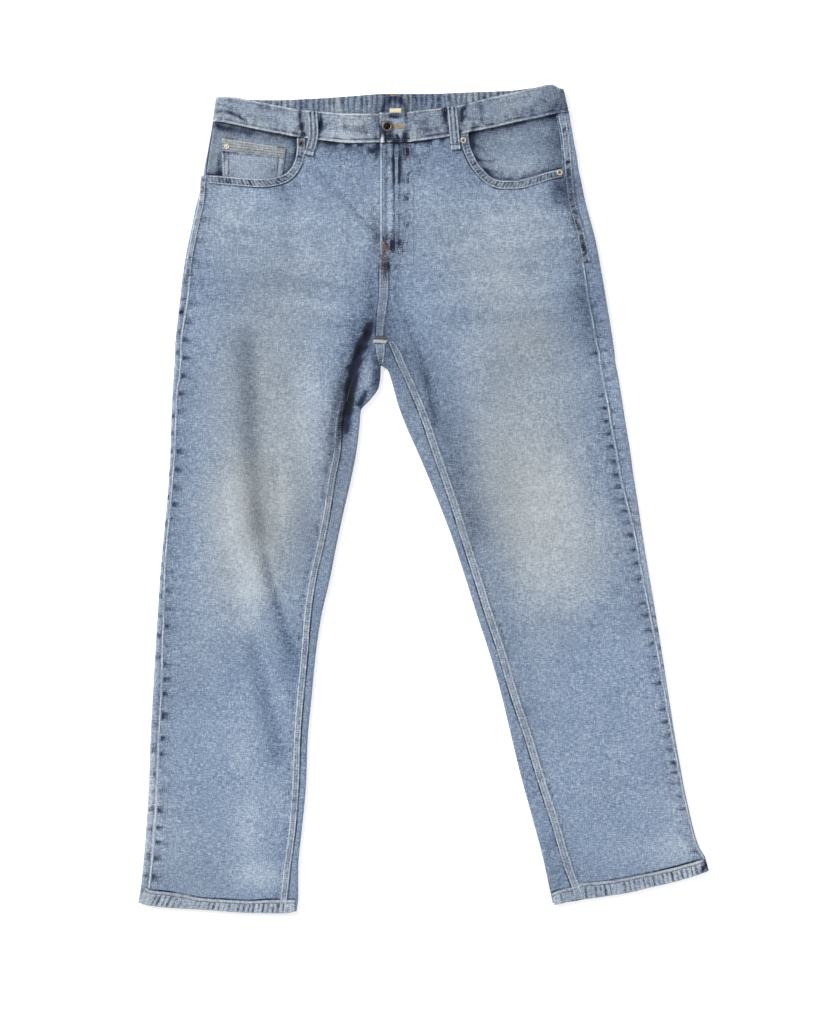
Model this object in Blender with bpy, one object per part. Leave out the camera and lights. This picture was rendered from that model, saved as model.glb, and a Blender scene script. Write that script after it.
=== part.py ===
# Slim fit jeans, laid flat with the front up.
#
# +X is the wearer's left, +Y runs up to the waist, +Z up from the surface the jeans lie on.
# Sizes in the tables are millimetres. "Right" and "left" are the wearer's.
# Every panel is a wall: its outer face follows the tables, its inner face is set in by the cloth.

import math

import bpy
import numpy as np

MM = 0.001

# Cloth
DENIM = 1.4            # one layer of the panels
BAND_CLOTH = 2.4       # waistband: two layers and a stiffener
LOOP_CLOTH = 1.6       # belt loop: a folded strip
SEAM_GAP = 0.4         # between two pieces along a seam
LAYER_GAP = 0.35       # between a piece and what lies on it
SEAM_LIFT = 0.6        # a felled seam or a turned edge stands this proud
SEAM_WIDTH = 9.0       # width of a felled seam or a turned edge
SEAM_STEP = 2.0        # the lift runs out over this width
SETTLE = 1.0           # the top layer sinks this much away from the folded edges
LAYER = DENIM + LAYER_GAP
COIN_LIFT = 0.3        # the coin pocket's turned edge

# How high the garment lies, up its length
LEVEL_COLUMNS = ("y", "underside", "top")
LEVELS = (
    (-540.0, 0.0, 6.4),
    (-300.0, 0.0, 6.4),
    (-60.0, 0.0, 6.8),
    (150.0, 0.0, 7.2),
    (225.0, 2.0, 9.2),
    (340.0, 2.0, 9.4),
    (530.0, 2.0, 9.4),
)

# Sections across each half, from the pocket mouth down to the hem.
# outer: the folded outer edge. seam_in: from that edge to the side seam, on the top.
# front: the inner end of the front panel (fly, front rise, then inseam).
# inner: the centre back seam above the crotch, the folded inner edge below it.
SECTION_COLUMNS = ("name", "outer_x", "outer_y", "seam_in", "front_x", "front_y", "inner_x", "inner_y")
SECTIONS_RIGHT = (
    ("mouth", -280, 411, 4, -55, 338, -49, 375),
    ("hip 1", -284, 392, 8, -55, 324, -50, 358),
    ("hip 2", -290, 369, 9, -55, 309, -50, 336),
    ("hip 3", -295, 344, 9, -55, 294, -51, 313),
    ("hip 4", -301, 316, 9, -55, 277, -51, 288),
    ("hip 5", -306, 284, 10, -55, 260, -53, 260),
    ("hip 6", -310, 250, 10, -57, 241, -53, 229),
    ("hip 7", -314, 214, 8, -59, 220, -54, 199),
    ("rise", -316, 195, 8, -60, 209, -54, 180),
    ("crotch", -316, 182, 8, -57, 197, -54, 169),
    ("thigh 1", -317, 170, 8, -70, 185, -54, 161),
    ("thigh 2", -318, 154, 8, -83, 167, -56, 143),
    ("thigh 3", -319, 138, 6, -92, 147, -67, 126),
    ("thigh 4", -320, 120, 6, -98, 124, -79, 112),
    ("leg 1", -321, 95, 6, -103, 95, -81, 91),
    ("leg 2", -322, 62, 6, -105, 62, -85, 59),
    ("leg 3", -324, 26, 5, -112, 25, -92, 23),
    ("leg 4", -327, -12, 5, -118, -15, -101, -16),
    ("leg 5", -331, -53, 5, -126, -57, -110, -58),
    ("knee", -335, -97, 6, -136, -101, -119, -104),
    ("leg 7", -338, -144, 8, -143, -149, -130, -152),
    ("leg 8", -341, -192, 9, -147, -199, -137, -201),
    ("leg 9", -344, -243, 11, -152, -251, -142, -253),
    ("leg 10", -347, -297, 11, -156, -304, -147, -307),
    ("leg 11", -349, -351, 11, -158, -360, -149, -363),
    ("leg 12", -352, -406, 11, -162, -416, -154, -418),
    ("leg 13", -356, -459, 11, -169, -471, -159, -472),
    ("hem top", -360, -496, 11, -173, -507, -159, -507),
    ("hem", -363, -514, 11, -176, -526, -161, -525),
)
SECTIONS_LEFT = (
    ("mouth", 197, 420, 18, -55, 338, -49, 375),
    ("hip 1", 201, 401, 20, -55, 324, -50, 358),
    ("hip 2", 206, 377, 22, -55, 309, -50, 336),
    ("hip 3", 213, 351, 22, -55, 294, -51, 313),
    ("hip 4", 220, 323, 22, -55, 277, -51, 288),
    ("hip 5", 226, 290, 22, -55, 260, -53, 260),
    ("hip 6", 232, 255, 23, -57, 241, -53, 229),
    ("hip 7", 238, 219, 22, -59, 220, -54, 199),
    ("rise", 241, 200, 22, -60, 209, -54, 180),
    ("crotch", 243, 187, 20, -57, 197, -54, 169),
    ("thigh 1", 244, 175, 20, -41, 189, -47, 165),
    ("thigh 2", 247, 159, 20, -34, 172, -43, 156),
    ("thigh 3", 250, 142, 20, -25, 153, -38, 138),
    ("thigh 4", 253, 123, 19, -15, 130, -33, 120),
    ("leg 1", 257, 97, 19, -3, 100, -23, 93),
    ("leg 2", 262, 67, 18, 9, 64, -10, 64),
    ("leg 3", 267, 31, 17, 22, 27, 5, 29),
    ("leg 4", 273, -7, 14, 35, -11, 20, -8),
    ("leg 5", 279, -48, 10, 48, -53, 36, -50),
    ("knee", 286, -91, 9, 62, -97, 51, -95),
    ("leg 7", 294, -138, 8, 77, -145, 66, -143),
    ("leg 8", 302, -187, 6, 94, -196, 82, -192),
    ("leg 9", 310, -238, 5, 110, -250, 97, -243),
    ("leg 10", 318, -290, 4, 128, -304, 110, -297),
    ("leg 11", 327, -342, 3, 145, -360, 123, -351),
    ("leg 12", 337, -397, 1.5, 163, -416, 138, -406),
    ("leg 13", 350, -444, 1.5, 178, -467, 152, -459),
    ("hem top", 359, -459, 1.5, 188, -494, 160, -497),
    ("hem", 363, -473, 1.5, 193, -512, 164, -515),
)
CROTCH_ROW = 9         # index of the "crotch" section

# The same for the yokes, above the pocket mouth
TOP_COLUMNS = ("name", "outer_x", "outer_y", "seam_in", "inner_x", "inner_y")
TOP_RIGHT = (
    ("waist", -268, 477, 1.5, -48, 472),
    ("yoke seam", -275, 439, 1.5, -48, 407),
    ("above mouth", -278, 425, 2.5, -49, 392),
)
TOP_LEFT = (
    ("waist", 185, 490, 15, -48, 472),
    ("yoke seam", 192, 450, 15, -48, 407),
    ("above mouth", 195, 435, 17, -49, 392),
)

# Front pocket mouths, from the waistband down and out to the side seam
MOUTH_COLUMNS = ("x", "y")
MOUTH_RIGHT = (
    (-161, 456), (-161, 446), (-162, 436), (-165, 426), (-170, 418), (-177, 412),
    (-189, 408), (-205, 406), (-225, 407), (-248, 409), (-276, 411),
)
MOUTH_LEFT = (
    (57, 463), (59, 450), (63, 439), (69, 427), (77, 417), (87, 408),
    (100, 404), (117, 404), (138, 409), (158, 415), (179, 420),
)

# The fly: the left front laps over the right one and over the zip
FLY = {"lap_x": -55.0, "under": 9.0, "top_y": 449.0, "mouth_y": 338.0, "foot_y": 298.0,
       "edge_run": 8.0, "lap_lift": 0.8, "lap_run": (-55.0, -10.0),
       "under_drop": 1.0, "drop_run": (-78.0, -60.0), "fade_y": (266.0, 290.0)}

# Waistband, laid flat: its upper and lower edge, round from the underlap to the overlap
BAND_COLUMNS = ("top_x", "top_y", "low_x", "low_y")
BAND_FRONT_RIGHT = (
    (-15, 488, -15, 456), (-36, 488, -36, 454), (-55, 489, -55, 452), (-93, 489, -93, 451),
    (-125, 491, -125, 454), (-157, 494, -157, 458), (-189, 500, -189, 464), (-220, 506, -220, 470),
    (-243, 510, -243, 475), (-264, 510, -268, 478),
)
BAND_BACK = (
    (-264, 510, -268, 478), (-233, 508, -233, 471), (-195, 507, -195, 467), (-138, 509, -138, 467),
    (-93, 512, -93, 469), (-48, 515, -48, 472), (2, 515, 2, 472), (59, 517, 59, 475),
    (110, 519, 110, 479), (148, 523, 150, 485), (178, 521, 185, 490),
)
BAND_FRONT_LEFT = (
    (178, 521, 185, 490), (163, 526, 167, 488), (142, 522, 145, 483), (116, 516, 120, 478),
    (84, 509, 90, 471), (53, 501, 55, 464), (31, 497, 31, 459), (-4, 493, -4, 454),
    (-30, 490, -30, 451), (-57, 490, -55, 451),
)
BAND = {"lift": 0.8, "under_drop": 1.4, "under_run": (-92.0, -64.0),
        "lap_lift": 1.3, "lap_run": (15.0, -20.0), "rows": 3}

# Soft folds of the top layer: a curve through three points, its depth (down is negative) and half width
FOLD_COLUMNS = ("name", "x0", "y0", "x1", "y1", "x2", "y2", "depth", "half")
FOLDS = (
    ("crotch right", -62, 208, -93, 176, -101, 70, -2.6, 9),
    ("beside it", -82, 214, -116, 172, -118, 60, 1.2, 12),
    ("hip right", -112, 388, -88, 362, -60, 330, -1.0, 9),
    ("thigh right", -216, 140, -216, 40, -206, -60, -0.9, 24),
    ("knee right", -206, -60, -192, -126, -157, -211, -1.3, 10),
    ("shin right", -217, -215, -206, -285, -180, -372, -0.9, 12),
    ("crotch left", -40, 226, -2, 178, 14, 108, -1.6, 9),
    ("thigh left", 16, 90, 50, 30, 70, -60, -0.8, 13),
    ("knee left", 225, 120, 205, 10, 215, -120, -0.6, 24),
    ("shin left", 190, -190, 215, -290, 262, -400, -0.7, 20),
)

FOLD_FADE = 0.2         # share of its length over which a fold fades at an end
FOLD_START = 0.25       # how far along the fade its end already is
FOLD_EDGE = (2.0, 10.0)     # distances in from a folded edge between which the folds set in
SETTLE_RUN = 30.0       # distance over which the top layer sinks

# Cloth behind the pocket mouths, and the strips that end at the crotch
FACING = {"beyond_mouth": 10.0, "below_mouth": 10.0, "butt": 12.0, "slip": 14.0, "rise_y": (460.0, 474.0),
          "rows": (0.0, 0.12, 0.3, 0.6, 1.0),
          "columns": 9, "crowd": 1.15, "sink": (2.0, 11.0), "under_mouth": 0.4}
RIM_SHARES = (0.9, 0.45, 0.0, -0.5, -1.0)      # of the seam's angle on top, of 90 degrees underneath
TAIL_ANGLES = np.radians([-90.0, -30.0, 30.0, 90.0])
CROTCH = {"pitch": 1.2, "turn": 6.0, "flat_pitch": 2.5, "spread": 0.6}

# Coin pocket on the right facing: its corners, from the top inner one round
COIN = {"top_in": (-174.5, 445.5), "top_out": (-256.5, 458.0),
        "low_out": (-255.0, 403.0), "low_in": (-180.0, 403.0)}
COIN_ROWS = (0.0, 0.18, 0.24, 0.6, 1.0)     # the first two lie in the turned hem

# Back pockets: width, height to the corners, extra at the point, centre of the top edge, tilt in degrees
BACK_POCKET = {"top_width": 146.0, "low_width": 132.0, "side": 132.0, "point": 22.0}
BACK_POCKET_PLACE = {"right": (-163.0, 394.0, -6.0), "left": (80.0, 398.0, 6.0)}

# Belt loops: centre of the upper and the lower end
LOOP_COLUMNS = ("name", "top_x", "top_y", "low_x", "low_y")
LOOP_WIDTH = 10.5
LOOP = {"bow": 0.5, "past_band": 1.5, "tack": 4.0, "shares": (0.0, 0.3, 0.65), "drop": 2.5}
FRONT_LOOPS = (
    ("loop_front_right", -142, 491, -140, 436),
    ("loop_front_left", 36, 497, 41, 443),
)
BACK_LOOPS = (
    ("loop_back_right", -188, 504, -187, 448),
    ("loop_back_centre", -38, 512, -38, 456),
    ("loop_back_left", 112, 516, 112, 460),
)

# Under the fly lap, and the label inside the back of the waistband
SHIELD = {"x": (-66.0, -12.0), "y": (296.0, 447.0)}
ZIP = {"x": (-45.2, -27.0), "y": (302.0, 446.0), "cloth": 1.0}
LABEL = {"x": (-44.0, -29.0), "y": (472.0, 496.0), "cloth": 0.6}

# Metal trims: name, place, radius, height; profiles as shares of the radius and the height
BUTTON = ("waist_button", -46.0, 472.0, 8.0, 3.6)
RIVETS_RIGHT = (("rivet_mouth_right", -155.0, 450.0, 3.8, 1.6),)
RIVETS_LEFT = (("rivet_mouth_left", 51.0, 455.0, 3.8, 1.6), ("rivet_side_left", 172.0, 412.0, 3.8, 1.6))
COIN_RIVET = ("rivet_coin", -250.0, 447.5, 3.4, 1.5)
BUTTON_PROFILE = ((0.0, 0.0), (0.9, 0.0), (1.0, 0.35), (0.94, 0.8), (0.78, 1.0), (0.62, 0.72), (0.0, 0.78))
RIVET_PROFILE = ((0.0, 0.0), (1.0, 0.0), (0.9, 0.45), (0.45, 1.0), (0.0, 1.0))

# Colours (linear) and roughness
DENIM_LIGHT = (0.30, 0.36, 0.46)
CREAM = (0.72, 0.66, 0.50)
STEEL = (0.55, 0.55, 0.55)
DARK_STEEL = (0.12, 0.11, 0.11)
ZIP_TAPE = (0.10, 0.13, 0.20)


def table(columns, rows):
    """Columns of a table by name, as arrays; names stay a list."""
    parts = {}
    for index, column in enumerate(columns):
        values = [row[index] for row in rows]
        parts[column] = values if column == "name" else np.array(values, dtype=float)
    return parts


def smooth(value):
    """0 below 0, 1 above 1, and an S curve between."""
    value = np.clip(value, 0.0, 1.0)
    return value * value * (3.0 - 2.0 * value)


def run(value, span):
    """How far value has gone from span[0] to span[1], as an S curve."""
    return smooth((value - span[0]) / (span[1] - span[0]))


def along(y, table_y, table_x):
    """x of an edge at height y, for an edge listed from the waist down."""
    order = np.argsort(table_y)
    return np.interp(y, table_y[order], table_x[order])


LEVEL = table(LEVEL_COLUMNS, LEVELS)
FOLD = table(FOLD_COLUMNS, FOLDS)


def levels(y):
    return np.interp(y, LEVEL["y"], LEVEL["underside"]), np.interp(y, LEVEL["y"], LEVEL["top"])


def rim(share):
    """Height of a quarter circle at a share of its radius in from the edge."""
    return np.sqrt(1.0 - (1.0 - np.clip(share, 0.0, 1.0)) ** 2)


def folds(x, y):
    """Sum of the soft folds: each falls off like a bell from its own curve and fades at its ends."""
    total = np.zeros_like(x)
    steps = np.linspace(0.0, 1.0, 25)
    for index in range(len(FOLD["name"])):
        start, middle, end = [np.array([FOLD["x%d" % n][index], FOLD["y%d" % n][index]]) for n in range(3)]
        curve = (np.outer((1 - steps) ** 2, start) + np.outer(2 * steps * (1 - steps), middle)
                 + np.outer(steps ** 2, end))
        squared = (x[..., None] - curve[:, 0]) ** 2 + (y[..., None] - curve[:, 1]) ** 2
        nearest = np.argmin(squared, axis=-1)
        distance = np.sqrt(np.min(squared, axis=-1))
        fade = smooth(np.minimum(steps[nearest], 1.0 - steps[nearest]) / FOLD_FADE + FOLD_START)
        total += FOLD["depth"][index] * fade * np.exp(-(distance / FOLD["half"][index]) ** 2)
    return total


class Half:
    """One half of the garment: its edges, and the height of its top layer."""

    def __init__(self, name, inward, sections, top, mouth, band):
        self.name = name
        self.inward = inward                      # +1 where the centre lies towards +X
        self.sections = table(SECTION_COLUMNS, sections)
        self.top = table(TOP_COLUMNS, top)
        self.mouth = table(MOUTH_COLUMNS, mouth)
        self.band = table(BAND_COLUMNS, band)
        self.outer_y = np.concatenate([self.top["outer_y"], self.sections["outer_y"]])
        self.outer = np.concatenate([self.top["outer_x"], self.sections["outer_x"]])
        self.seam_in = np.concatenate([self.top["seam_in"], self.sections["seam_in"]])
        self.legs_y = self.sections["inner_y"][CROTCH_ROW:]
        self.legs_x = self.sections["inner_x"][CROTCH_ROW:]

    def outer_x(self, y):
        return along(y, self.outer_y, self.outer)

    def seam_x(self, y):
        return self.outer_x(y) + self.inward * along(y, self.outer_y, self.seam_in)

    def from_edges(self, x, y):
        """Distance in from the folded edges, seen from above."""
        outer = (x - self.outer_x(y)) * self.inward
        inner = (along(y, self.legs_y, self.legs_x) - x) * self.inward
        return outer, np.where(y < self.legs_y[0], inner, 1e3)

    def height(self, x, y):
        """Outer face of the top layer."""
        low, high = levels(y)
        radius = (high - low) / 2.0
        outer, inner = self.from_edges(x, y)
        edge = np.minimum(outer, inner)
        z = low + radius + radius * rim(outer / radius) * rim(inner / radius)
        z = z - SETTLE * smooth((edge - radius) / SETTLE_RUN)
        z = z + folds(x, y) * run(edge, FOLD_EDGE)
        fly = run(y, FLY["fade_y"])
        if self.name == "right":
            return z - fly * FLY["under_drop"] * run(x, FLY["drop_run"])
        return z + fly * FLY["lap_lift"] * (1.0 - run(x, FLY["lap_run"]))

    def band_low(self, x):
        """Lower edge of the front waistband at x."""
        order = np.argsort(self.band["low_x"])
        return np.interp(x, self.band["low_x"][order], self.band["low_y"][order])


RIGHT = Half("right", 1.0, SECTIONS_RIGHT, TOP_RIGHT, MOUTH_RIGHT, BAND_FRONT_RIGHT)
LEFT = Half("left", -1.0, SECTIONS_LEFT, TOP_LEFT, MOUTH_LEFT, BAND_FRONT_LEFT)


# ---- meshes ----------------------------------------------------------------

def unit(vectors):
    return vectors / np.linalg.norm(vectors, axis=-1, keepdims=True)


def wall(name, skin, cloth, material, lift=None):
    """A closed wall on skin points: outer face off by the lift, inner face in by the cloth."""
    base, normal = skin[..., :3], skin[..., 3:]
    outer = base if lift is None else base + normal * lift[..., None]
    return closed_grid(name, outer, base - normal * cloth, material)


def closed_grid(name, outer, inner, material):
    """Joins two grids of the same size round their edges into one closed body."""
    rows, columns = outer.shape[:2]
    count = rows * columns
    vertices = np.concatenate([outer.reshape(-1, 3), inner.reshape(-1, 3)]) * MM
    index = np.arange(count).reshape(rows, columns)
    faces = []
    a, b = index[:-1, :-1].ravel(), index[:-1, 1:].ravel()
    c, d = index[1:, 1:].ravel(), index[1:, :-1].ravel()
    faces += np.stack([a, b, c, d], axis=1).tolist()
    faces += np.stack([d + count, c + count, b + count, a + count], axis=1).tolist()
    ring = np.concatenate([index[0, :-1], index[:-1, -1], index[-1, :0:-1], index[:0:-1, 0]])
    after = np.roll(ring, -1)
    faces += np.stack([after, ring, ring + count, after + count], axis=1).tolist()
    return solid(name, vertices, faces, material)


def solid(name, vertices, faces, material):
    """A mesh object whose faces point outwards."""
    fans = [(face[0], face[j], face[j + 1]) for face in faces for j in range(1, len(face) - 1)]
    corners = np.array(fans)
    first, second, third = (vertices[corners[:, i]] for i in range(3))
    volume = np.einsum("ij,ij->i", first, np.cross(second, third)).sum() / 6.0
    if volume < 0.0:
        faces = [face[::-1] for face in faces]
    mesh = bpy.data.meshes.new(name)
    mesh.from_pydata([tuple(point) for point in vertices], [], faces)
    mesh.validate()
    mesh.materials.append(material)
    thing = bpy.data.objects.new(name, mesh)
    bpy.context.scene.collection.objects.link(thing)
    return thing


def finish(name, colour, roughness, metallic=0.0):
    """A Principled material of its own for one sub-part."""
    material = bpy.data.materials.new(name)
    material.use_nodes = True
    shader = material.node_tree.nodes["Principled BSDF"]
    shader.inputs["Base Color"].default_value = (*colour, 1.0)
    shader.inputs["Roughness"].default_value = roughness
    shader.inputs["Metallic"].default_value = metallic
    return material


def denim(name):
    return finish(name, DENIM_LIGHT, 0.85)


def xyz(plan, z):
    return np.concatenate([plan, np.asarray(z)[..., None]], axis=-1)


def skin_point(plan, z, away, rise):
    """A point of the cloth's outer face with its outward normal: away is the normal seen from above."""
    shape = np.broadcast_shapes(plan.shape[:-1], np.shape(z), np.shape(away)[:-1], np.shape(rise))
    flat = [np.broadcast_to(plan[..., k], shape) for k in range(2)] + [np.broadcast_to(z, shape)]
    flat += [np.broadcast_to(away[..., k], shape) for k in range(2)] + [np.broadcast_to(rise, shape)]
    return np.stack(flat, axis=-1)


def top_skin(height, plan):
    """Skin points on the top layer, whose normal comes from the slope of the height."""
    x, y = plan[..., 0], plan[..., 1]
    step = 0.2
    slope_x = (height(x + step, y) - height(x - step, y)) / (2 * step)
    slope_y = (height(x, y + step) - height(x, y - step)) / (2 * step)
    normal = unit(np.stack([-slope_x, -slope_y, np.ones_like(x)], axis=-1))
    return np.concatenate([xyz(plan, height(x, y)), normal], axis=-1)


def flat_skin(plan):
    """Skin points on the underside."""
    return skin_point(plan, levels(plan[..., 1])[0], np.zeros_like(plan), -1.0)


def rim_skin(edge, inward, radius, low, angle):
    """Skin points round a folded edge: angle is 90 degrees on top, 0 at the edge, -90 underneath."""
    plan = edge + inward * (radius * (1.0 - np.cos(angle)))[..., None]
    z = low + radius + radius * np.sin(angle)
    return skin_point(plan, z, -inward * np.cos(angle)[..., None], np.sin(angle))


# ---- panels ----------------------------------------------------------------

def ends(section, start, stop=None):
    """Outer, front and inner points of the sections from start to stop."""
    part = slice(start, stop)
    return [np.stack([section[edge + "_x"][part], section[edge + "_y"][part]], axis=1)
            for edge in ("outer", "front", "inner")]


def halfway(points, first):
    """Adds a point halfway between neighbours from index first on."""
    middle = (points[first:-1] + points[first + 1:]) / 2.0
    tail = np.empty((2 * len(middle), *points.shape[1:]))
    tail[0::2] = middle
    tail[1::2] = points[first + 1:]
    return np.concatenate([points[:first + 1], tail])


def front_rows(half):
    """Start and end of each row of the front panel: down the mouth and the fly, then down the leg."""
    outer, front, inner = ends(half.sections, 1)
    seam = outer + unit(inner - outer) * (half.sections["seam_in"][1:, None] + SEAM_GAP / 2)
    count = len(half.mouth["x"])
    fly_y = np.linspace(FLY["top_y"], FLY["mouth_y"], count)
    fly = np.stack([np.full(count, FLY["lap_x"]), fly_y], axis=1)
    mouth = np.stack([half.mouth["x"], half.mouth["y"]], axis=1)
    starts = np.concatenate([mouth, seam])
    stops = np.concatenate([fly, front])
    stops[:, 0] -= half.inward * SEAM_GAP / 2
    if half.name == "right":
        under = FLY["under"] * smooth((stops[:, 1] - FLY["foot_y"]) / FLY["edge_run"])
        stops[:, 0] += under
    first_leg = count + CROTCH_ROW + 4
    return halfway(starts, first_leg), halfway(stops, first_leg), count


def front_panel(half):
    starts, stops, mouth_rows = front_rows(half)
    length = np.linalg.norm(stops - starts, axis=1)[:, None]
    edge = np.array([0.0, SEAM_WIDTH, SEAM_WIDTH + SEAM_STEP])
    middle = np.linspace(0.0, 1.0, 8)[1:-1]
    lead = edge[-1]
    distance = np.concatenate([np.repeat(edge[None], len(length), 0),
                               lead + (length - 2 * lead) * middle[None],
                               length - edge[None, ::-1]], axis=1)
    plan = starts[:, None] + unit(stops - starts)[:, None] * distance[..., None]
    plan[0, :, 1] = half.band_low(plan[0, :, 0]) - SEAM_GAP
    lift = np.zeros(plan.shape[:2])
    lift[:mouth_rows + 4, :2] = SEAM_LIFT         # turned edge of the mouth, then the side seam
    lift[mouth_rows + 4:, -2:] = SEAM_LIFT        # front rise, then the inseam
    lift[-2:, :] = SEAM_LIFT                      # hem
    wall("front_" + half.name, top_skin(half.height, plan), DENIM, denim("front_" + half.name), lift)


def rim_columns(half, outer, inward, seam_in):
    """The outer columns of a back piece: from the side seam over the folded edge to the underside."""
    low, high = levels(outer[:, 1])
    radius = (high - low) / 2.0
    seam = seam_in - SEAM_GAP / 2
    start = np.arccos(1.0 - np.minimum(seam / radius, 1.0))
    columns = [top_skin(half.height, outer + inward * seam[:, None])]
    for share in RIM_SHARES:
        angle = share * (start if share > 0 else np.full(len(outer), math.pi / 2))
        columns.append(rim_skin(outer, inward, radius, low, angle))
    return np.stack(columns, axis=1)


def flat_between(first, last, count):
    """Points on the underside between two columns, ends left out."""
    share = np.linspace(0.0, 1.0, count + 2)[1:-1]
    plan = first[:, None, :2] + (last - first)[:, None, :2] * share[None, :, None]
    return flat_skin(plan)


def leg_tail(half, inner, inward, front):
    """Inner columns of a back panel below the crotch: round the folded inner edge to the inseam on top."""
    low, high = levels(inner[:, 1])
    radius = (high - low) / 2.0
    columns = [rim_skin(inner, -inward, radius, low, np.full(len(inner), angle)) for angle in TAIL_ANGLES]
    seam = front + np.array([half.inward * SEAM_GAP, 0.0])
    edge = columns[3][:, :2]
    columns += [top_skin(half.height, edge + (seam - edge) * share) for share in (0.5, 1.0)]
    return np.stack(columns, axis=1)


def crotch_rows(half):
    """Rows that carry the centre back seam round the crotch fold and up to where the four seams meet.

    Row m ends on the seam at its m-th stop: under the fold, round it, then on top. Each column further
    out is one stop behind and a little further down the inner edge of the leg."""
    outer, front, inner = ends(half.sections, CROTCH_ROW, CROTCH_ROW + 4)
    apex = inner[0] + np.array([-half.inward * SEAM_GAP / 2, 0.0])
    edge = np.concatenate([apex[None], inner[1:]])
    run_along = np.concatenate([[0.0], np.cumsum(np.linalg.norm(np.diff(edge, axis=0), axis=1))])
    meet = front[0] + np.array([-half.inward * SEAM_GAP / 2, -2.5 * SEAM_GAP])
    low, high = levels(apex[1])
    radius = (high - low) / 2.0
    rows = []
    for m in range(6):
        row = []
        for i in range(6):
            stop = i - (5 - m)
            w = (5 - i) * CROTCH["pitch"]
            point = np.array([np.interp(w, run_along, edge[:, k]) for k in range(2)])
            turn = math.pi / 2 * smooth(w / CROTCH["turn"])
            inward = np.array([-half.inward * math.sin(turn), math.cos(turn)])
            if stop < 0:
                plan = point + inward * (radius - stop * CROTCH["flat_pitch"])
                row.append(skin_point(plan, low, np.zeros(2), -1.0))
            elif stop <= 3:
                row.append(rim_skin(point, inward, radius, low, TAIL_ANGLES[stop]))
            else:
                start = apex + np.array([0.0, radius]) if i == 5 else row[-1][:2]
                plan = meet if stop == 5 else (start + meet) / 2.0
                point = top_skin(half.height, plan[None])[0]
                point[3:] = unit(point[3:] * np.array([0.0 if i == 5 else 1.0, 1.0, 1.0]))
                row.append(point)
        rows.append(np.array(row))
    return np.array(rows)


def back_panel(half):
    section = half.sections
    outer, front, inner = ends(section, 0)
    top_outer = np.stack([half.top["outer_x"][1:], half.top["outer_y"][1:]], axis=1)
    top_inner = np.stack([half.top["inner_x"][1:], half.top["inner_y"][1:]], axis=1)

    # hips: every column beyond the folded edge lies underneath, up to the centre back seam
    hip_outer = np.concatenate([top_outer, outer[:CROTCH_ROW]])
    hip_inner = np.concatenate([top_inner, inner[:CROTCH_ROW]])
    hip_seam = np.concatenate([half.top["seam_in"][1:], section["seam_in"][:CROTCH_ROW]])
    hip_outer[0, 1] -= SEAM_GAP
    hip_inner[0, 1] -= SEAM_GAP
    hip_inner[:, 0] -= half.inward * SEAM_GAP / 2
    inward = unit(hip_inner - hip_outer)
    hip_rim = rim_columns(half, hip_outer, inward, hip_seam)
    back = np.array([5, 4, 3, 2, 1, 0]) * CROTCH["flat_pitch"]
    hip_tail = flat_skin(hip_inner[:, None] - inward[:, None] * back[None, :, None])

    # crotch
    fold_tail = crotch_rows(half)
    count = len(fold_tail)
    place = CROTCH_ROW - 1 + 2.0 * (np.arange(count) + CROTCH["spread"]) / (count + CROTCH["spread"])
    rows = np.arange(len(outer))
    fold_outer = np.stack([np.interp(place, rows, outer[:, k]) for k in range(2)], axis=1)
    fold_seam = np.interp(place, rows, section["seam_in"])
    fold_inward = unit(inner[CROTCH_ROW] - fold_outer)
    fold_rim = rim_columns(half, fold_outer, fold_inward, fold_seam)

    # leg
    start = CROTCH_ROW + 1
    leg_inward = unit(inner[start:] - outer[start:])
    leg_rim = rim_columns(half, outer[start:], leg_inward, section["seam_in"][start:])
    tail = leg_tail(half, inner[start:], leg_inward, front[start:])

    rims = np.concatenate([hip_rim, fold_rim, leg_rim])
    tails = np.concatenate([hip_tail, fold_tail, tail])
    skin = np.concatenate([rims, flat_between(rims[:, -1], tails[:, 0], 4), tails], axis=1)
    wall("back_" + half.name, skin, DENIM, denim("back_" + half.name))


def yoke(half):
    outer = np.stack([half.top["outer_x"][:2], half.top["outer_y"][:2]], axis=1)
    inner = np.stack([half.top["inner_x"][:2], half.top["inner_y"][:2]], axis=1)
    inner[:, 0] -= half.inward * SEAM_GAP / 2
    share = np.linspace(0.0, 1.0, 4)[:, None]
    outer = outer[0] + (outer[1] - outer[0]) * share
    inner = inner[0] + (inner[1] - inner[0]) * share
    seam_in = half.top["seam_in"][0] + (half.top["seam_in"][1] - half.top["seam_in"][0]) * share[:, 0]
    inward = unit(inner - outer)
    rims = rim_columns(half, outer, inward, seam_in)
    centre = flat_skin(inner)[:, None]
    skin = np.concatenate([rims, flat_between(rims[:, -1], centre[:, 0], 5), centre], axis=1)
    back_low = table(BAND_COLUMNS, BAND_BACK)
    on_top = np.arange(skin.shape[1]) < 3
    edge_x = skin[0, :, 0]
    edge = np.where(on_top, half.band_low(edge_x), np.interp(edge_x, back_low["low_x"], back_low["low_y"]))
    skin[:, :, 1] += (edge - 2 * SEAM_GAP - skin[0, :, 1])[None] * (1.0 - share)
    wall("yoke_" + half.name, skin, DENIM, denim("yoke_" + half.name))


def facing_height(half, layers):
    """Height function of a piece some layers below the front panel.

    It leaves the top layer's height a little in from the side seam, and rises again near the waistband."""
    def height(x, y):
        outer = half.from_edges(x, y)[0]
        below = layers - (layers - 1) * run(y, FACING["rise_y"])
        return half.height(x, y) - below * LAYER * run(outer, FACING["sink"])
    return height


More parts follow.
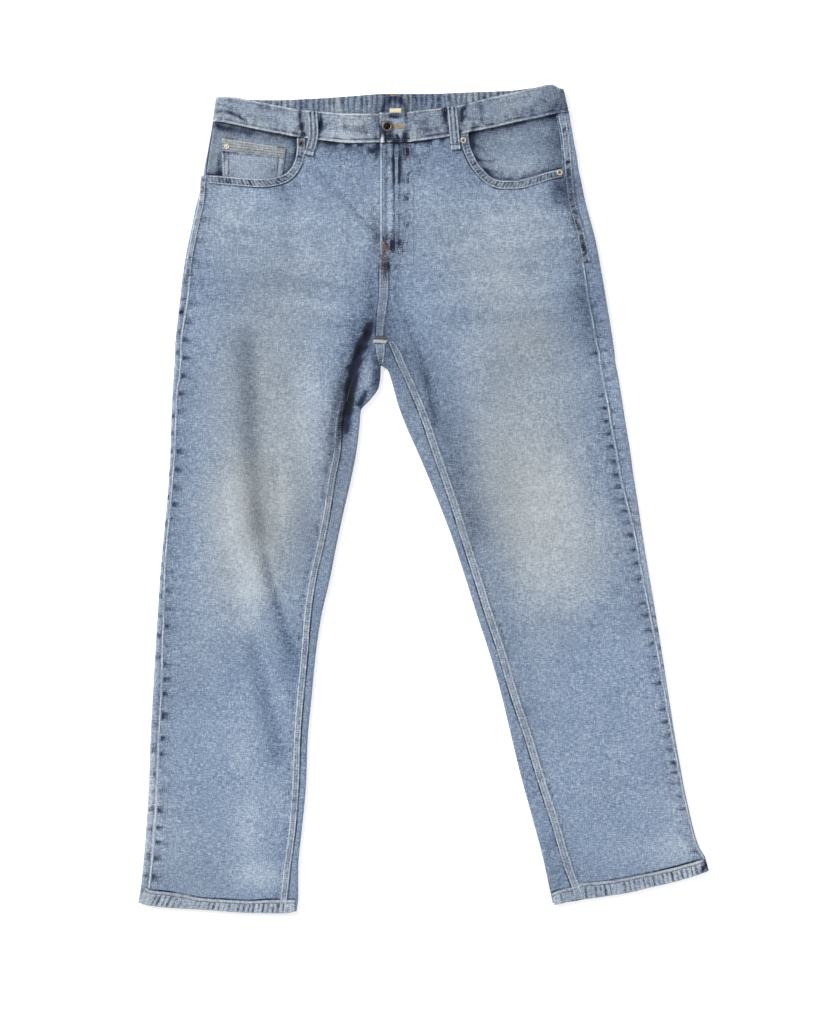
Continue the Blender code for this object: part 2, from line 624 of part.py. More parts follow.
def facing(half, layers):
    """Denim behind the pocket mouth, from the waistband to just under the front panel."""
    mouth = half.mouth
    order = np.argsort(mouth["x"])
    end_x = mouth["x"][0] + half.inward * FACING["beyond_mouth"]
    corner_y = half.top["outer_y"][0]
    low_y = mouth["y"][-1]
    share = np.linspace(0.0, 1.0, FACING["columns"]) ** FACING["crowd"]
    seam_top = half.seam_x(corner_y) + half.inward * SEAM_GAP
    seam_low = half.seam_x(low_y) + half.inward * SEAM_GAP
    top_x = seam_top + (end_x - seam_top) * share
    low_x = seam_low + (end_x - seam_low) * share
    inside = np.abs(low_x - seam_low)
    below = smooth((inside - FACING["butt"]) / FACING["slip"])
    edge_y = np.interp(low_x, mouth["x"][order], mouth["y"][order]) + SEAM_GAP + FACING["under_mouth"]
    bottom_y = edge_y - below * FACING["below_mouth"]
    top_y = half.band_low(top_x) - SEAM_GAP
    v = np.array(FACING["rows"])[:, None]
    plan = np.stack([top_x * (1 - v) + low_x * v, top_y * (1 - v) + bottom_y * v], axis=-1)
    name = "facing_" + half.name
    wall(name, top_skin(facing_height(half, layers), plan), DENIM, denim(name))


def coin_pocket():
    """Small patch on the right facing, with a turned upper edge."""
    u = np.linspace(0.0, 1.0, 6)[None, :, None]
    v = np.array(COIN_ROWS)[:, None, None]
    corner = {key: np.array(value) for key, value in COIN.items()}
    top = corner["top_out"] * (1 - u) + corner["top_in"] * u
    low = corner["low_out"] * (1 - u) + corner["low_in"] * u
    plan = top * (1 - v) + low * v
    lift = np.zeros(plan.shape[:2])
    lift[:2] = COIN_LIFT
    wall("coin_pocket", top_skin(facing_height(RIGHT, 1), plan), DENIM, denim("coin_pocket"), lift)


# ---- waistband and what is on it --------------------------------------------

def band_height(half, x, y):
    """Outer face of the front waistband: it dips for the underlap and rises for the overlap."""
    z = levels(y)[1] + BAND["lift"]
    if half.name == "right":
        return z - BAND["under_drop"] * run(x, BAND["under_run"])
    return z + BAND["lap_lift"] * run(x, BAND["lap_run"])


def band_station(top, low, outer_z, inner_z):
    """Outer and inner points up the height of the band at one place along it."""
    share = np.linspace(0.0, 1.0, BAND["rows"])[:, None]
    plan = low + (top - low) * share
    full = np.ones(BAND["rows"])
    return xyz(plan, full * outer_z), xyz(plan, full * inner_z)


def corner_stations(half, top, low):
    """Round the folded end of the band, from the top side to the underside."""
    under, high = (float(level) for level in levels(low[1]))
    high += BAND["lift"]
    outer_radius = (high - under) / 2.0
    inner_radius = outer_radius - BAND_CLOTH
    centre_z = (high + under) / 2.0
    side = np.array([half.inward, 0.0])
    stations = []
    for angle in np.radians([90.0, 45.0, 0.0, -45.0, -90.0]):
        away, rise = math.cos(angle), math.sin(angle)
        pair = []
        for radius in (outer_radius, inner_radius):
            shift = side * (outer_radius - radius * away)
            share = np.linspace(0.0, 1.0, BAND["rows"])[:, None]
            plan = low + shift + (top - low) * share
            pair.append(xyz(plan, np.full(BAND["rows"], centre_z + radius * rise)))
        stations.append(tuple(pair))
    return stations


def band_points(rows):
    values = table(BAND_COLUMNS, rows)
    return (np.stack([values["top_x"], values["top_y"]], axis=1),
            np.stack([values["low_x"], values["low_y"]], axis=1))


def waistband():
    stations = []
    top, low = band_points(BAND_FRONT_RIGHT)
    for upper, lower in zip(top[:-1], low[:-1]):
        z = float(band_height(RIGHT, lower[0], lower[1]))
        stations.append(band_station(upper, lower, z, z - BAND_CLOTH))
    stations += corner_stations(RIGHT, top[-1], low[-1])
    back_top, back_low = band_points(BAND_BACK)
    for upper, lower in zip(back_top[1:-1], back_low[1:-1]):
        under = float(levels(lower[1])[0])
        stations.append(band_station(upper, lower, under, under + BAND_CLOTH))
    top, low = band_points(BAND_FRONT_LEFT)
    stations += corner_stations(LEFT, top[0], low[0])[::-1]
    for upper, lower in zip(top[1:], low[1:]):
        z = float(band_height(LEFT, lower[0], lower[1]))
        stations.append(band_station(upper, lower, z, z - BAND_CLOTH))
    outer = np.array([station[0] for station in stations])
    inner = np.array([station[1] for station in stations])
    closed_grid("waistband", outer, inner, denim("waistband"))


def strip(name, centre, across, cloth, material, up=1.0):
    """A flat strip of cloth along a centre line; its underside lies on the given heights."""
    half_width = across * LOOP_WIDTH / 2.0
    left = centre - np.array([*half_width, 0.0])
    right = centre + np.array([*half_width, 0.0])
    lower = np.stack([left, right], axis=1)
    upper = lower + np.array([0.0, 0.0, cloth * up])
    closed_grid(name, upper, lower, material)


def front_loop(half, name, top_x, top_y, low_x, low_y):
    """Over the band with a slight bow, then down on to the front panel."""
    top, low = np.array([top_x, top_y], float), np.array([low_x, low_y], float)
    length = np.linalg.norm(low - top)
    way = (low - top) / length
    band_end = (top_y - float(half.band_low(np.array([low_x]))[0])) + LOOP["past_band"]
    ends = (band_end / length, (band_end + LOOP["drop"]) / length, 1.0)
    share = np.array(LOOP["shares"] + ends)
    plan = top + way * (share * length)[:, None]
    band_z = band_height(half, plan[:, 0], plan[:, 1])
    panel_z = half.height(plan[:, 0], plan[:, 1])
    bow = LOOP["bow"] * np.sin(np.clip(share * length / band_end, 0.0, 1.0) * math.pi)
    z = np.where(share * length <= band_end + 0.1, band_z + bow, panel_z + SEAM_LIFT) + LAYER_GAP
    across = np.array([-way[1], way[0]])
    strip(name, xyz(plan, z), across, LOOP_CLOTH, denim(name))


def back_loop(name, top_x, top_y, low_x, low_y):
    """Under the band, where the garment rests on it."""
    top, low = np.array([top_x, top_y], float), np.array([low_x, low_y], float)
    way = unit(low - top)
    plan = np.stack([top, (top + low) / 2.0, low])
    across = np.array([-way[1], way[0]])
    strip(name, xyz(plan, np.zeros(3)), across, LOOP_CLOTH, denim(name))


def back_pocket(side):
    """Five-sided patch under the back panel, on which the hips rest."""
    centre_x, centre_y, tilt = BACK_POCKET_PLACE[side]
    size = BACK_POCKET
    u = np.linspace(-0.5, 0.5, 5)[None, :]
    v = np.linspace(0.0, 1.0, 5)[:, None]
    width = size["top_width"] * (1 - v) + size["low_width"] * v
    x = u * width
    y = -v * (size["side"] + size["point"] * (1.0 - 2.0 * np.abs(u)))
    turn = math.radians(tilt)
    plan = np.stack([centre_x + x * math.cos(turn) - y * math.sin(turn),
                     centre_y + x * math.sin(turn) + y * math.cos(turn)], axis=-1)
    upper = xyz(plan, np.full(x.shape, DENIM))
    lower = xyz(plan, np.zeros(x.shape))
    name = "pocket_back_" + side
    closed_grid(name, upper, lower, denim(name))


# ---- fly, label and metal ----------------------------------------------------

def flat_plate(name, x_span, y_span, z_low, cloth, material):
    """A small flat piece of cloth at one height."""
    x, y = np.meshgrid(np.array(x_span), np.linspace(*y_span, 3))
    plan = np.stack([x, y], axis=-1)
    lower = xyz(plan, np.full(x.shape, z_low))
    upper = xyz(plan, np.full(x.shape, z_low + cloth))
    closed_grid(name, upper, lower, material)


def fly_pieces():
    """The shield under both fronts, and the closed zip between it and the lap."""
    high = float(levels(FLY["top_y"])[1]) - SETTLE
    front_inside = high - FLY["under_drop"] - DENIM
    shield_top = front_inside - LAYER_GAP
    flat_plate("fly_shield", SHIELD["x"], SHIELD["y"], shield_top - DENIM, DENIM, denim("fly_shield"))
    tape = finish("zip", ZIP_TAPE, 0.7, 0.2)
    flat_plate("zip", ZIP["x"], ZIP["y"], shield_top + LAYER_GAP, ZIP["cloth"], tape)


def turned(name, x, y, z, profile, material, sides=16):
    """A round piece from a list of (radius, height) points, its first and last on the axis."""
    angle = np.linspace(0.0, 2.0 * math.pi, sides, endpoint=False)
    vertices = [(x, y, z + profile[0][1])]
    faces = []
    for radius, rise in profile[1:-1]:
        vertices += [(x + radius * math.cos(a), y + radius * math.sin(a), z + rise) for a in angle]
    vertices.append((x, y, z + profile[-1][1]))
    rings = len(profile) - 2
    for s in range(sides):
        n = (s + 1) % sides
        faces.append([0, 1 + n, 1 + s])
        for k in range(rings - 1):
            a, b = 1 + k * sides, 1 + (k + 1) * sides
            faces.append([a + s, a + n, b + n, b + s])
        last = 1 + (rings - 1) * sides
        faces.append([last + s, last + n, len(vertices) - 1])
    return solid(name, np.array(vertices) * MM, faces, material)


def waist_button():
    """Jeans button: a dished cap with a rounded rim."""
    name, x, y, radius, height = BUTTON
    z = float(band_height(LEFT, x, y)) + LAYER_GAP
    profile = [(radius * share, height * rise) for share, rise in BUTTON_PROFILE]
    turned(name, x, y, z, profile, finish(name, DARK_STEEL, 0.4, 0.9))


def rivet(row, surface):
    """Low dome on a flat collar, on the cloth at its place."""
    name, x, y, radius, height = row
    angle = np.linspace(0.0, 2.0 * math.pi, 9)
    z = float(np.max(surface(x + radius * np.cos(angle), y + radius * np.sin(angle)))) + LAYER_GAP
    profile = [(radius * share, height * rise) for share, rise in RIVET_PROFILE]
    turned(name, x, y, z, profile, finish(name, STEEL, 0.35, 1.0), 12)


def build():
    for thing in list(bpy.data.objects):
        bpy.data.objects.remove(thing, do_unlink=True)
    for half in (RIGHT, LEFT):
        front_panel(half)
        back_panel(half)
        yoke(half)
        back_pocket(half.name)
    facing(RIGHT, 2)
    facing(LEFT, 1)
    coin_pocket()
    waistband()
    for row in FRONT_LOOPS:
        front_loop(RIGHT if row[1] < 0 else LEFT, *row)
    for row in BACK_LOOPS:
        back_loop(*row)
    fly_pieces()
    label_z = float(levels(LABEL["y"][0])[0]) + BAND_CLOTH + LAYER_GAP
    cream = finish("inner_label", CREAM, 0.8)
    flat_plate("inner_label", LABEL["x"], LABEL["y"], label_z, LABEL["cloth"], cream)
    waist_button()
    for half, rows in ((RIGHT, RIVETS_RIGHT), (LEFT, RIVETS_LEFT)):
        for row in rows:
            rivet(row, lambda x, y, half=half: half.height(x, y) + SEAM_LIFT)
    on_coin = facing_height(RIGHT, 1)
    rivet(COIN_RIVET, lambda x, y: on_coin(x, y) + COIN_LIFT)


build()
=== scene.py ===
import math
from functools import partial
import bmesh
import bpy
import numpy as np
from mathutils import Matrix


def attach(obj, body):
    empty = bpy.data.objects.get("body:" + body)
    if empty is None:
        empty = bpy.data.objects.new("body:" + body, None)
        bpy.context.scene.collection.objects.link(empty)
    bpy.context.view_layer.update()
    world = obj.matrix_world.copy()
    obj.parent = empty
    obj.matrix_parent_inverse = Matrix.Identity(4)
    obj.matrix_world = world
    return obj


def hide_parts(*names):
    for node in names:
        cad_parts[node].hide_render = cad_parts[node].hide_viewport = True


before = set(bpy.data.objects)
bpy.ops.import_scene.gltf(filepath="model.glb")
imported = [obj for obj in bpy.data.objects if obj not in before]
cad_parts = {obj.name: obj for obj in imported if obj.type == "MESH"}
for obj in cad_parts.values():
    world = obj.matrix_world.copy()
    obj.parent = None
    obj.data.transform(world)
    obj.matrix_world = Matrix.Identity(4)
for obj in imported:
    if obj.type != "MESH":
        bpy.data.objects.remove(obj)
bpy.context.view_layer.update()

# Slim fit jeans laid flat, front up. +X is the wearer's left, +Y the waist, +Z up. Sizes are in millimetres.
print("stage: tables")

mm = 0.001
cloth = dict(denim=1.4, band=2.4, seamGap=0.4, layerGap=0.35, settle=1)
shellThick = 1.2       # one layer of the visible cloth
tableGap = 0.02        # nothing goes lower than this over the table
tuck = 1             # how far the panels slip under the waistband
darkest = 2          # the dark channel runs from 0 to this; above 1 it paints deep shadow
layer = cloth["denim"] + cloth["layerGap"]

# y, underside, top
levelRows = np.array([
    (-540, 0, 6.4), (-300, 0, 6.4), (-60, 0, 6.8), (150, 0, 7.2), (225, 2, 9.2), (340, 2, 9.4), (530, 2, 9.4)], float)

# sections from the pocket mouth to the hem: outer x y, side seam in from it, front panel's inner end x y, inner x y
rightRows = np.array([
    (-280, 411, 4, -55, 338, -49, 375), (-284, 392, 8, -55, 324, -50, 358), (-290, 369, 9, -55, 309, -50, 336),
    (-295, 344, 9, -55, 294, -51, 313), (-301, 316, 9, -55, 277, -51, 288), (-306, 284, 10, -55, 260, -53, 260),
    (-310, 250, 10, -57, 241, -53, 229), (-314, 214, 8, -59, 220, -54, 199), (-316, 195, 8, -60, 209, -54, 180),
    (-316, 182, 8, -57, 197, -54, 169), (-317, 170, 8, -70, 185, -54, 161), (-318, 154, 8, -83, 167, -56, 143),
    (-319, 138, 6, -92, 147, -67, 126), (-320, 120, 6, -98, 124, -79, 112), (-321, 95, 6, -103, 95, -81, 91),
    (-322, 62, 6, -105, 62, -85, 59), (-324, 26, 5, -112, 25, -92, 23), (-327, -12, 5, -118, -15, -101, -16),
    (-331, -53, 5, -126, -57, -110, -58), (-335, -97, 6, -136, -101, -119, -104), (-338, -144, 8, -143, -149, -130, -152),
    (-341, -192, 9, -147, -199, -137, -201), (-344, -243, 11, -152, -251, -142, -253),
    (-347, -297, 11, -156, -304, -147, -307), (-349, -351, 11, -158, -360, -149, -363),
    (-352, -406, 11, -162, -416, -154, -418), (-356, -459, 11, -169, -471, -159, -472),
    (-360, -496, 11, -173, -507, -159, -507), (-363, -514, 11, -176, -526, -161, -525)], float)
leftRows = np.array([
    (197, 420, 18, -55, 338, -49, 375), (201, 401, 20, -55, 324, -50, 358), (206, 377, 22, -55, 309, -50, 336),
    (213, 351, 22, -55, 294, -51, 313), (220, 323, 22, -55, 277, -51, 288), (226, 290, 22, -55, 260, -53, 260),
    (232, 255, 23, -57, 241, -53, 229), (238, 219, 22, -59, 220, -54, 199), (241, 200, 22, -60, 209, -54, 180),
    (243, 187, 20, -57, 197, -54, 169), (244, 175, 20, -41, 189, -47, 165), (247, 159, 20, -34, 172, -43, 156),
    (250, 142, 20, -25, 153, -38, 138), (253, 123, 19, -15, 130, -33, 120), (257, 97, 19, -3, 100, -23, 93),
    (262, 67, 18, 9, 64, -10, 64), (267, 31, 17, 22, 27, 5, 29), (273, -7, 14, 35, -11, 20, -8),
    (279, -48, 10, 48, -53, 36, -50), (286, -91, 9, 62, -97, 51, -95), (294, -138, 8, 77, -145, 66, -143),
    (302, -187, 6, 94, -196, 82, -192), (310, -238, 5, 110, -250, 97, -243), (318, -290, 4, 128, -304, 110, -297),
    (327, -342, 3, 145, -360, 123, -351), (337, -397, 1.5, 163, -416, 138, -406), (350, -444, 1.5, 178, -467, 152, -459),
    (359, -459, 1.5, 188, -494, 160, -497), (363, -473, 1.5, 193, -512, 164, -515)], float)
crotchRow = 9

# yokes: outer x y, side seam in, inner x y at the waist, the yoke seam and above the mouth
rightTop = np.array([(-268, 477, 1.5, -48, 472), (-275, 439, 1.5, -48, 407), (-278, 425, 2.5, -49, 392)], float)
leftTop = np.array([(185, 490, 15, -48, 472), (192, 450, 15, -48, 407), (195, 435, 17, -49, 392)], float)

rightMouth = np.array([(-161, 456), (-161, 446), (-162, 436), (-165, 426), (-170, 418), (-177, 412), (-189, 408),
                       (-205, 406), (-225, 407), (-248, 409), (-276, 411)], float)
leftMouth = np.array([(57, 463), (59, 450), (63, 439), (69, 427), (77, 417), (87, 408), (100, 404), (117, 404),
                      (138, 409), (158, 415), (179, 420)], float)

fly = dict(lapX=-55, under=9, topY=449, mouthY=338, footY=298, edgeRun=8, lapLift=0.8, lapRun=(-55, -10),
           underDrop=1, dropRun=(-78, -60), fadeY=(266, 290))

# waistband: top x y, lower x y, from the underlap round the back to the overlap
bandRight = np.array([(-15, 488, -15, 456), (-36, 488, -36, 454), (-55, 489, -55, 452), (-93, 489, -93, 451),
                      (-125, 491, -125, 454), (-157, 494, -157, 458), (-189, 500, -189, 464), (-220, 506, -220, 470),
                      (-243, 510, -243, 475), (-264, 510, -268, 478)], float)
bandBack = np.array([(-264, 510, -268, 478), (-233, 508, -233, 471), (-195, 507, -195, 467), (-138, 509, -138, 467),
                     (-93, 512, -93, 469), (-48, 515, -48, 472), (2, 515, 2, 472), (59, 517, 59, 475),
                     (110, 519, 110, 479), (148, 523, 150, 485), (178, 521, 185, 490)], float)
bandLeft = np.array([(178, 521, 185, 490), (163, 526, 167, 488), (142, 522, 145, 483), (116, 516, 120, 478),
                     (84, 509, 90, 471), (53, 501, 55, 464), (31, 497, 31, 459), (-4, 493, -4, 454),
                     (-30, 490, -30, 451), (-57, 490, -55, 451)], float)
band = dict(lift=0.8, underDrop=1.4, underRun=(-92, -64), lapLift=1.3, lapRun=(15, -20), sections=600,
            lapFine=34, lapSections=56)

# folds of the top layer: three points of a curve, depth (down is negative), half width on its left and on its right
foldRows = np.array([
    (-64, 220, -95, 178, -106, 62, -4, 5.6, 4.6), (-84, 222, -118, 176, -121, 60, 1.3, 7, 14),
    (-142, 424, -100, 384, -56, 330, -1.3, 2.6, 6), (-222, 225, -218, 100, -212, -30, -1.9, 11, 24),
    (-212, 0, -208, -76, -166, -196, -2.9, 5, 14), (-222, -160, -206, -240, -174, -345, -2.2, 9, 15),
    (-26, 238, -6, 196, 16, 92, -1.9, 9, 5), (12, 96, 50, 30, 76, -90, -1.4, 16, 10),
    (-160, 130, -150, 20, -158, -110, 0.9, 16, 16), (-268, 150, -262, 20, -266, -120, 0.8, 16, 16),
    (60, 190, 96, 60, 128, -90, 0.9, 20, 20), (196, 210, 214, 60, 236, -70, 0.7, 18, 18),
    (225, 120, 205, 10, 215, -120, -0.6, 24, 24), (190, -190, 215, -290, 262, -400, -0.7, 20, 20),
    (180, 330, 120, 300, 30, 300, -0.5, 9, 9), (-280, 300, -200, 282, -110, 268, -0.5, 9, 9),
    (210, 30, 150, 20, 90, 30, -0.4, 10, 10), (-300, -100, -240, -120, -180, -100, -0.5, 12, 10)], float)


def smooth(value):
    # 0 below 0, 1 above 1, 3v^2 - 2v^3 between
    value = np.clip(value, 0, 1)
    return value * value * (3 - 2 * value)


def run(value, start, stop):
    # 0 at start, 1 at stop, smooth between
    return smooth((value - start) / (stop - start))


def bell(distance, half):
    # exp(-(distance / half)^2)
    return np.exp(-(distance / half) ** 2)


def unit(vectors):
    # each vector divided by its length
    return vectors / np.maximum(np.linalg.norm(vectors, axis=-1, keepdims=True), 1e-9)


def spline(at, places, values):
    # cubic between the places; each slope is the harmonic mean of its two neighbours, so it never overshoots
    values = np.asarray(values, float)
    flat = values.reshape(len(places), -1)
    width = np.diff(places)[:, None]
    rise = np.diff(flat, axis=0) / width
    before, after = rise[:-1], rise[1:]
    same = before * after > 0
    a, b = 2 * width[1:] + width[:-1], width[1:] + 2 * width[:-1]
    safe = np.where(same, a / np.where(same, before, 1) + b / np.where(same, after, 1), 1)
    middle = np.where(same, (a + b) / safe, 0)
    slope = np.concatenate([rise[:1], middle, rise[-1:]])
    at = np.clip(at, places[0], places[-1])
    index = np.clip(np.searchsorted(places, at, side="right") - 1, 0, len(places) - 2)
    t = ((at - places[index]) / width[index, 0])[..., None]
    low, high = flat[index], flat[index + 1]
    bend = (slope[index] * t * (1 - t) ** 2 - slope[index + 1] * t ** 2 * (1 - t)) * width[index]
    result = low * (1 + 2 * t) * (1 - t) ** 2 + high * t ** 2 * (3 - 2 * t) + bend
    return result.reshape(np.shape(at) + values.shape[1:])


def hills(x, y, size, seed):
    # smooth random hills about size apart, from -1 to 1: a random lattice, blended with 3v^2 - 2v^3
    lattice = np.random.default_rng(seed).uniform(-1, 1, (64, 64))
    u, v = np.asarray(x) / size + 640, np.asarray(y) / size + 640
    i, j = np.floor(u).astype(int), np.floor(v).astype(int)
    fu, fv = smooth(u - i), smooth(v - j)
    low = lattice[i % 64, j % 64] * (1 - fu) + lattice[(i + 1) % 64, j % 64] * fu
    high = lattice[i % 64, (j + 1) % 64] * (1 - fu) + lattice[(i + 1) % 64, (j + 1) % 64] * fu
    return low * (1 - fv) + high * fv


def lineLengths(line):
    # how far along a line each of its points lies
    return np.concatenate([[0], np.cumsum(np.linalg.norm(np.diff(line, axis=0), axis=1))])


def pointsAlong(line, lengths, at):
    # the points of a line at given distances along it, straight between its own points
    return np.stack([np.interp(at, lengths, line[:, k]) for k in range(line.shape[1])], axis=-1)


def smoothLine(points, step):
    # points every step along a smooth line through the given ones
    points = np.asarray(points, float)
    lengths = lineLengths(points)
    fine = spline(np.linspace(0, lengths[-1], max(int(lengths[-1]), 8)), lengths, points)
    lengths = lineLengths(fine)
    count = max(int(round(lengths[-1] / step)), 2) + 1
    return pointsAlong(fine, lengths, np.linspace(0, lengths[-1], count))


def resample(line, count):
    # count points at even distances along a line
    line = np.asarray(line, float)
    fine = smoothLine(line, 1) if len(line) > 2 else line
    lengths = lineLengths(fine)
    return pointsAlong(fine, lengths, np.linspace(0, lengths[-1], count))


def ribbonPlan(lineA, lineB, step, columns):
    # a grid between two lines: rows along them, columns across, with the distance along and across in millimetres
    length = max(lineLengths(np.asarray(lineA, float))[-1], lineLengths(np.asarray(lineB, float))[-1])
    count = max(int(round(length / step)), 3) + 1
    a, b = resample(lineA, count), resample(lineB, count)
    share = np.linspace(0, 1, columns)[:, None]
    plan = a[:, None] * (1 - share) + b[:, None] * share
    width = np.linalg.norm(b - a, axis=1)[:, None]
    along = lineLengths((a + b) / 2)[:, None] + 0 * width
    return plan, along, share[:, 0] * width, width


def besideLine(line, offset):
    # a line that runs beside another, plus on its left
    line = smoothLine(line, 4)
    way = unit(np.gradient(line, axis=0))
    return line + np.stack([-way[:, 1], way[:, 0]], axis=1) * offset


def fromLine(line, x, y, reach=1e9):
    # distance from a line (plus on its left), how far along it, and 0..1 share; points out of reach are left far
    shape = np.shape(x)
    points = np.stack([np.ravel(x), np.ravel(y)], axis=1)
    distance, place = np.full(len(points), 1e3), np.zeros(len(points))
    low, high = line.min(axis=0) - reach, line.max(axis=0) + reach
    near = np.where(np.all((points > low) & (points < high), axis=1))[0]
    lengths = lineLengths(line)
    start, step = line[:-1], np.diff(line, axis=0)
    squared = np.maximum((step ** 2).sum(axis=1), 1e-9)
    for part in np.array_split(near, max(len(near) * len(step) // 2000000, 1)):
        rel = points[part, None] - start
        share = np.clip((rel * step).sum(axis=2) / squared, 0, 1)
        gap = rel - share[..., None] * step
        length = np.linalg.norm(gap, axis=2)
        best = np.argmin(length, axis=1)
        pick = (np.arange(len(part)), best)
        turn = step[best, 0] * rel[pick][:, 1] - step[best, 1] * rel[pick][:, 0]
        distance[part] = length[pick] * np.where(turn >= 0, 1, -1)
        place[part] = lengths[best] + share[pick] * np.sqrt(squared[best])
    return distance.reshape(shape), place.reshape(shape), (place / lengths[-1]).reshape(shape)


def quadLine(row, count=24):
    # a quadratic curve: (1 - t)^2 a + 2 t (1 - t) b + t^2 c
    t = np.linspace(0, 1, count)[:, None]
    return row[0:2] * (1 - t) ** 2 + row[2:4] * 2 * t * (1 - t) + row[4:6] * t ** 2


def foldHeight(x, y, rows):
    # every fold is a bell across its curve, faded over a fifth of its length at both ends
    total = np.zeros(np.shape(x))
    for row in rows:
        side, _, share = fromLine(quadLine(row), x, y, 3 * max(row[7], row[8]))
        half = np.where(side > 0, row[7], row[8])
        total += row[6] * smooth(np.minimum(share, 1 - share) * 5 + 0.25) * bell(side, half)
    return total


def levels(y):
    # the heights of the underside and of the top layer at y
    return np.interp(y, levelRows[:, 0], levelRows[:, 1]), np.interp(y, levelRows[:, 0], levelRows[:, 2])


def rim(share):
    # height of a quarter circle at a share of its radius in from the edge
    return np.sqrt(1 - (1 - np.clip(share, 0, 1)) ** 2)


class Half:
    # one half of the garment: its edges and the height of its top layer
    def __init__(self, name, inward, rows, top, mouth, bandRows):
        self.name, self.inward, self.rows, self.top, self.mouth = name, inward, rows, top, mouth
        outer = np.concatenate([top[:, [0, 1, 2]], rows[:, [0, 1, 2]]])[::-1]
        self.outerY, self.outer, self.seamIn = outer[:, 1], outer[:, 0], outer[:, 2]
        legs = rows[crotchRow:][::-1]
        self.legsY, self.legsX = legs[:, 6], legs[:, 5]
        order = np.argsort(bandRows[:, 2])
        self.lowX, self.lowY, self.topX, self.topY = (bandRows[order, k] for k in (2, 3, 0, 1))

    def outerX(self, y):
        return spline(y, self.outerY, self.outer)

    def innerX(self, y):
        return spline(y, self.legsY, self.legsX)

    def seamX(self, y):
        return self.outerX(y) + self.inward * spline(y, self.outerY, self.seamIn)

    def fromEdges(self, x, y):
        outer = (x - self.outerX(y)) * self.inward
        inner = (self.innerX(y) - x) * self.inward
        return outer, np.where(y < self.legsY[-1], inner, 1e3)

    def height(self, x, y, fine=True):
        # a quarter circle at each folded edge, flat between, sunk a little, with the folds and the fly's steps added
        x, y = np.asarray(x, float), np.asarray(y, float)
        low, high = levels(y)
        radius = (high - low) / 2
        outer, inner = self.fromEdges(x, y)
        edge = np.minimum(outer, inner)
        z = low + radius + radius * rim(outer / radius) * rim(inner / radius)
        z -= cloth["settle"] * smooth((edge - radius) / 30)
        z += foldHeight(x, y, foldRows) * smooth((edge - 2) / 8)
        if fine:
            z += (0.32 * hills(x, y, 52, 3) + 0.16 * hills(x, y * 0.8, 21, 4)) * smooth((edge - 3) / 14)
        step = run(y, *fly["fadeY"])
        if self.name == "right":
            return z - step * fly["underDrop"] * run(x, *fly["dropRun"])
        return z + step * fly["lapLift"] * (1 - run(x, *fly["lapRun"]))

    def bandLow(self, x):
        return spline(x, self.lowX, self.lowY)


right = Half("right", 1, rightRows, rightTop, rightMouth, bandRight)
left = Half("left", -1, leftRows, leftTop, leftMouth, bandLeft)


def xyz(plan, z):
    # points of a plan with their heights
    return np.concatenate([plan, np.broadcast_to(z, plan.shape[:-1])[..., None]], axis=-1)


def gridNormals(grid):
    # cross product of the two directions of the grid
    return unit(np.cross(np.gradient(grid, axis=1), np.gradient(grid, axis=0)))


def addMesh(name, vertices, faces, material, wash=None, smoothFaces=None, body="root"):
    # a mesh with its faces outwards, its colour attribute of washed fades with painted light and shade, and its
    # material
    vertices = np.asarray(vertices, float) * mm
    if isinstance(faces, np.ndarray):
        a, b, c, d = (vertices[faces[:, k]] for k in range(4))
        volume = np.einsum("ij,ij->i", a, np.cross(b, c)).sum() + np.einsum("ij,ij->i", a, np.cross(c, d)).sum()
        faces = (faces if volume > 0 else faces[:, ::-1]).tolist()
    mesh = bpy.data.meshes.new(name)
    mesh.from_pydata(vertices.tolist(), [], faces)
    mesh.polygons.foreach_set("use_smooth", np.ones(len(faces), bool) if smoothFaces is None else smoothFaces)
    if wash is not None:
        layerData = mesh.attributes.new("wash", "FLOAT_COLOR", "POINT")
        layerData.data.foreach_set("color", np.asarray(wash, np.float32).reshape(-1, 4).ravel())
    mesh.materials.append(material)
    mesh.validate()
    thing = bpy.data.objects.new(name, mesh)
    bpy.context.scene.collection.objects.link(thing)
    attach(thing, body)
    return thing


def gridFaces(rows, columns):
    # one quad between each four neighbours of a grid
    index = np.arange(rows * columns).reshape(rows, columns)
    return np.stack([index[:-1, :-1], index[:-1, 1:], index[1:, 1:], index[1:, :-1]], axis=-1).reshape(-1, 4)


def shellParts(outer, wash, thick):
    # the outer grid, the same grid set in along its normals, and quads round the edge
    rows, columns = outer.shape[:2]
    inner = outer - gridNormals(outer) * thick
    inner[..., 2] = np.maximum(inner[..., 2], tableGap)
    faces = gridFaces(rows, columns)
    count = rows * columns
    index = np.arange(count).reshape(rows, columns)
    ring = np.concatenate([index[0, :-1], index[:-1, -1], index[-1, :0:-1], index[:0:-1, 0]])
    after = np.roll(ring, -1)
    edge = np.stack([after, ring, ring + count, after + count], axis=1)
    vertices = np.concatenate([outer.reshape(-1, 3), inner.reshape(-1, 3)])
    washIn = wash.reshape(-1, 4).copy()
    washIn[:, 3] = 1
    colours = np.concatenate([wash.reshape(-1, 4), washIn])
    allFaces = np.concatenate([faces, faces[:, ::-1] + count, edge])
    flags = np.ones(len(allFaces), bool)
    flags[-len(edge):] = False
    return vertices, allFaces, colours, flags


def shell(name, outer, wash, material, thick=shellThick, up=1):
    # up is +1 where the grid's outer side looks up on the whole, -1 where it looks down
    if gridNormals(outer)[..., 2].mean() * up < 0:
        outer, wash = outer[:, ::-1], wash[:, ::-1]
    vertices, faces, colours, flags = shellParts(outer, wash, thick)
    return addMesh(name, vertices, faces, material, colours, flags)
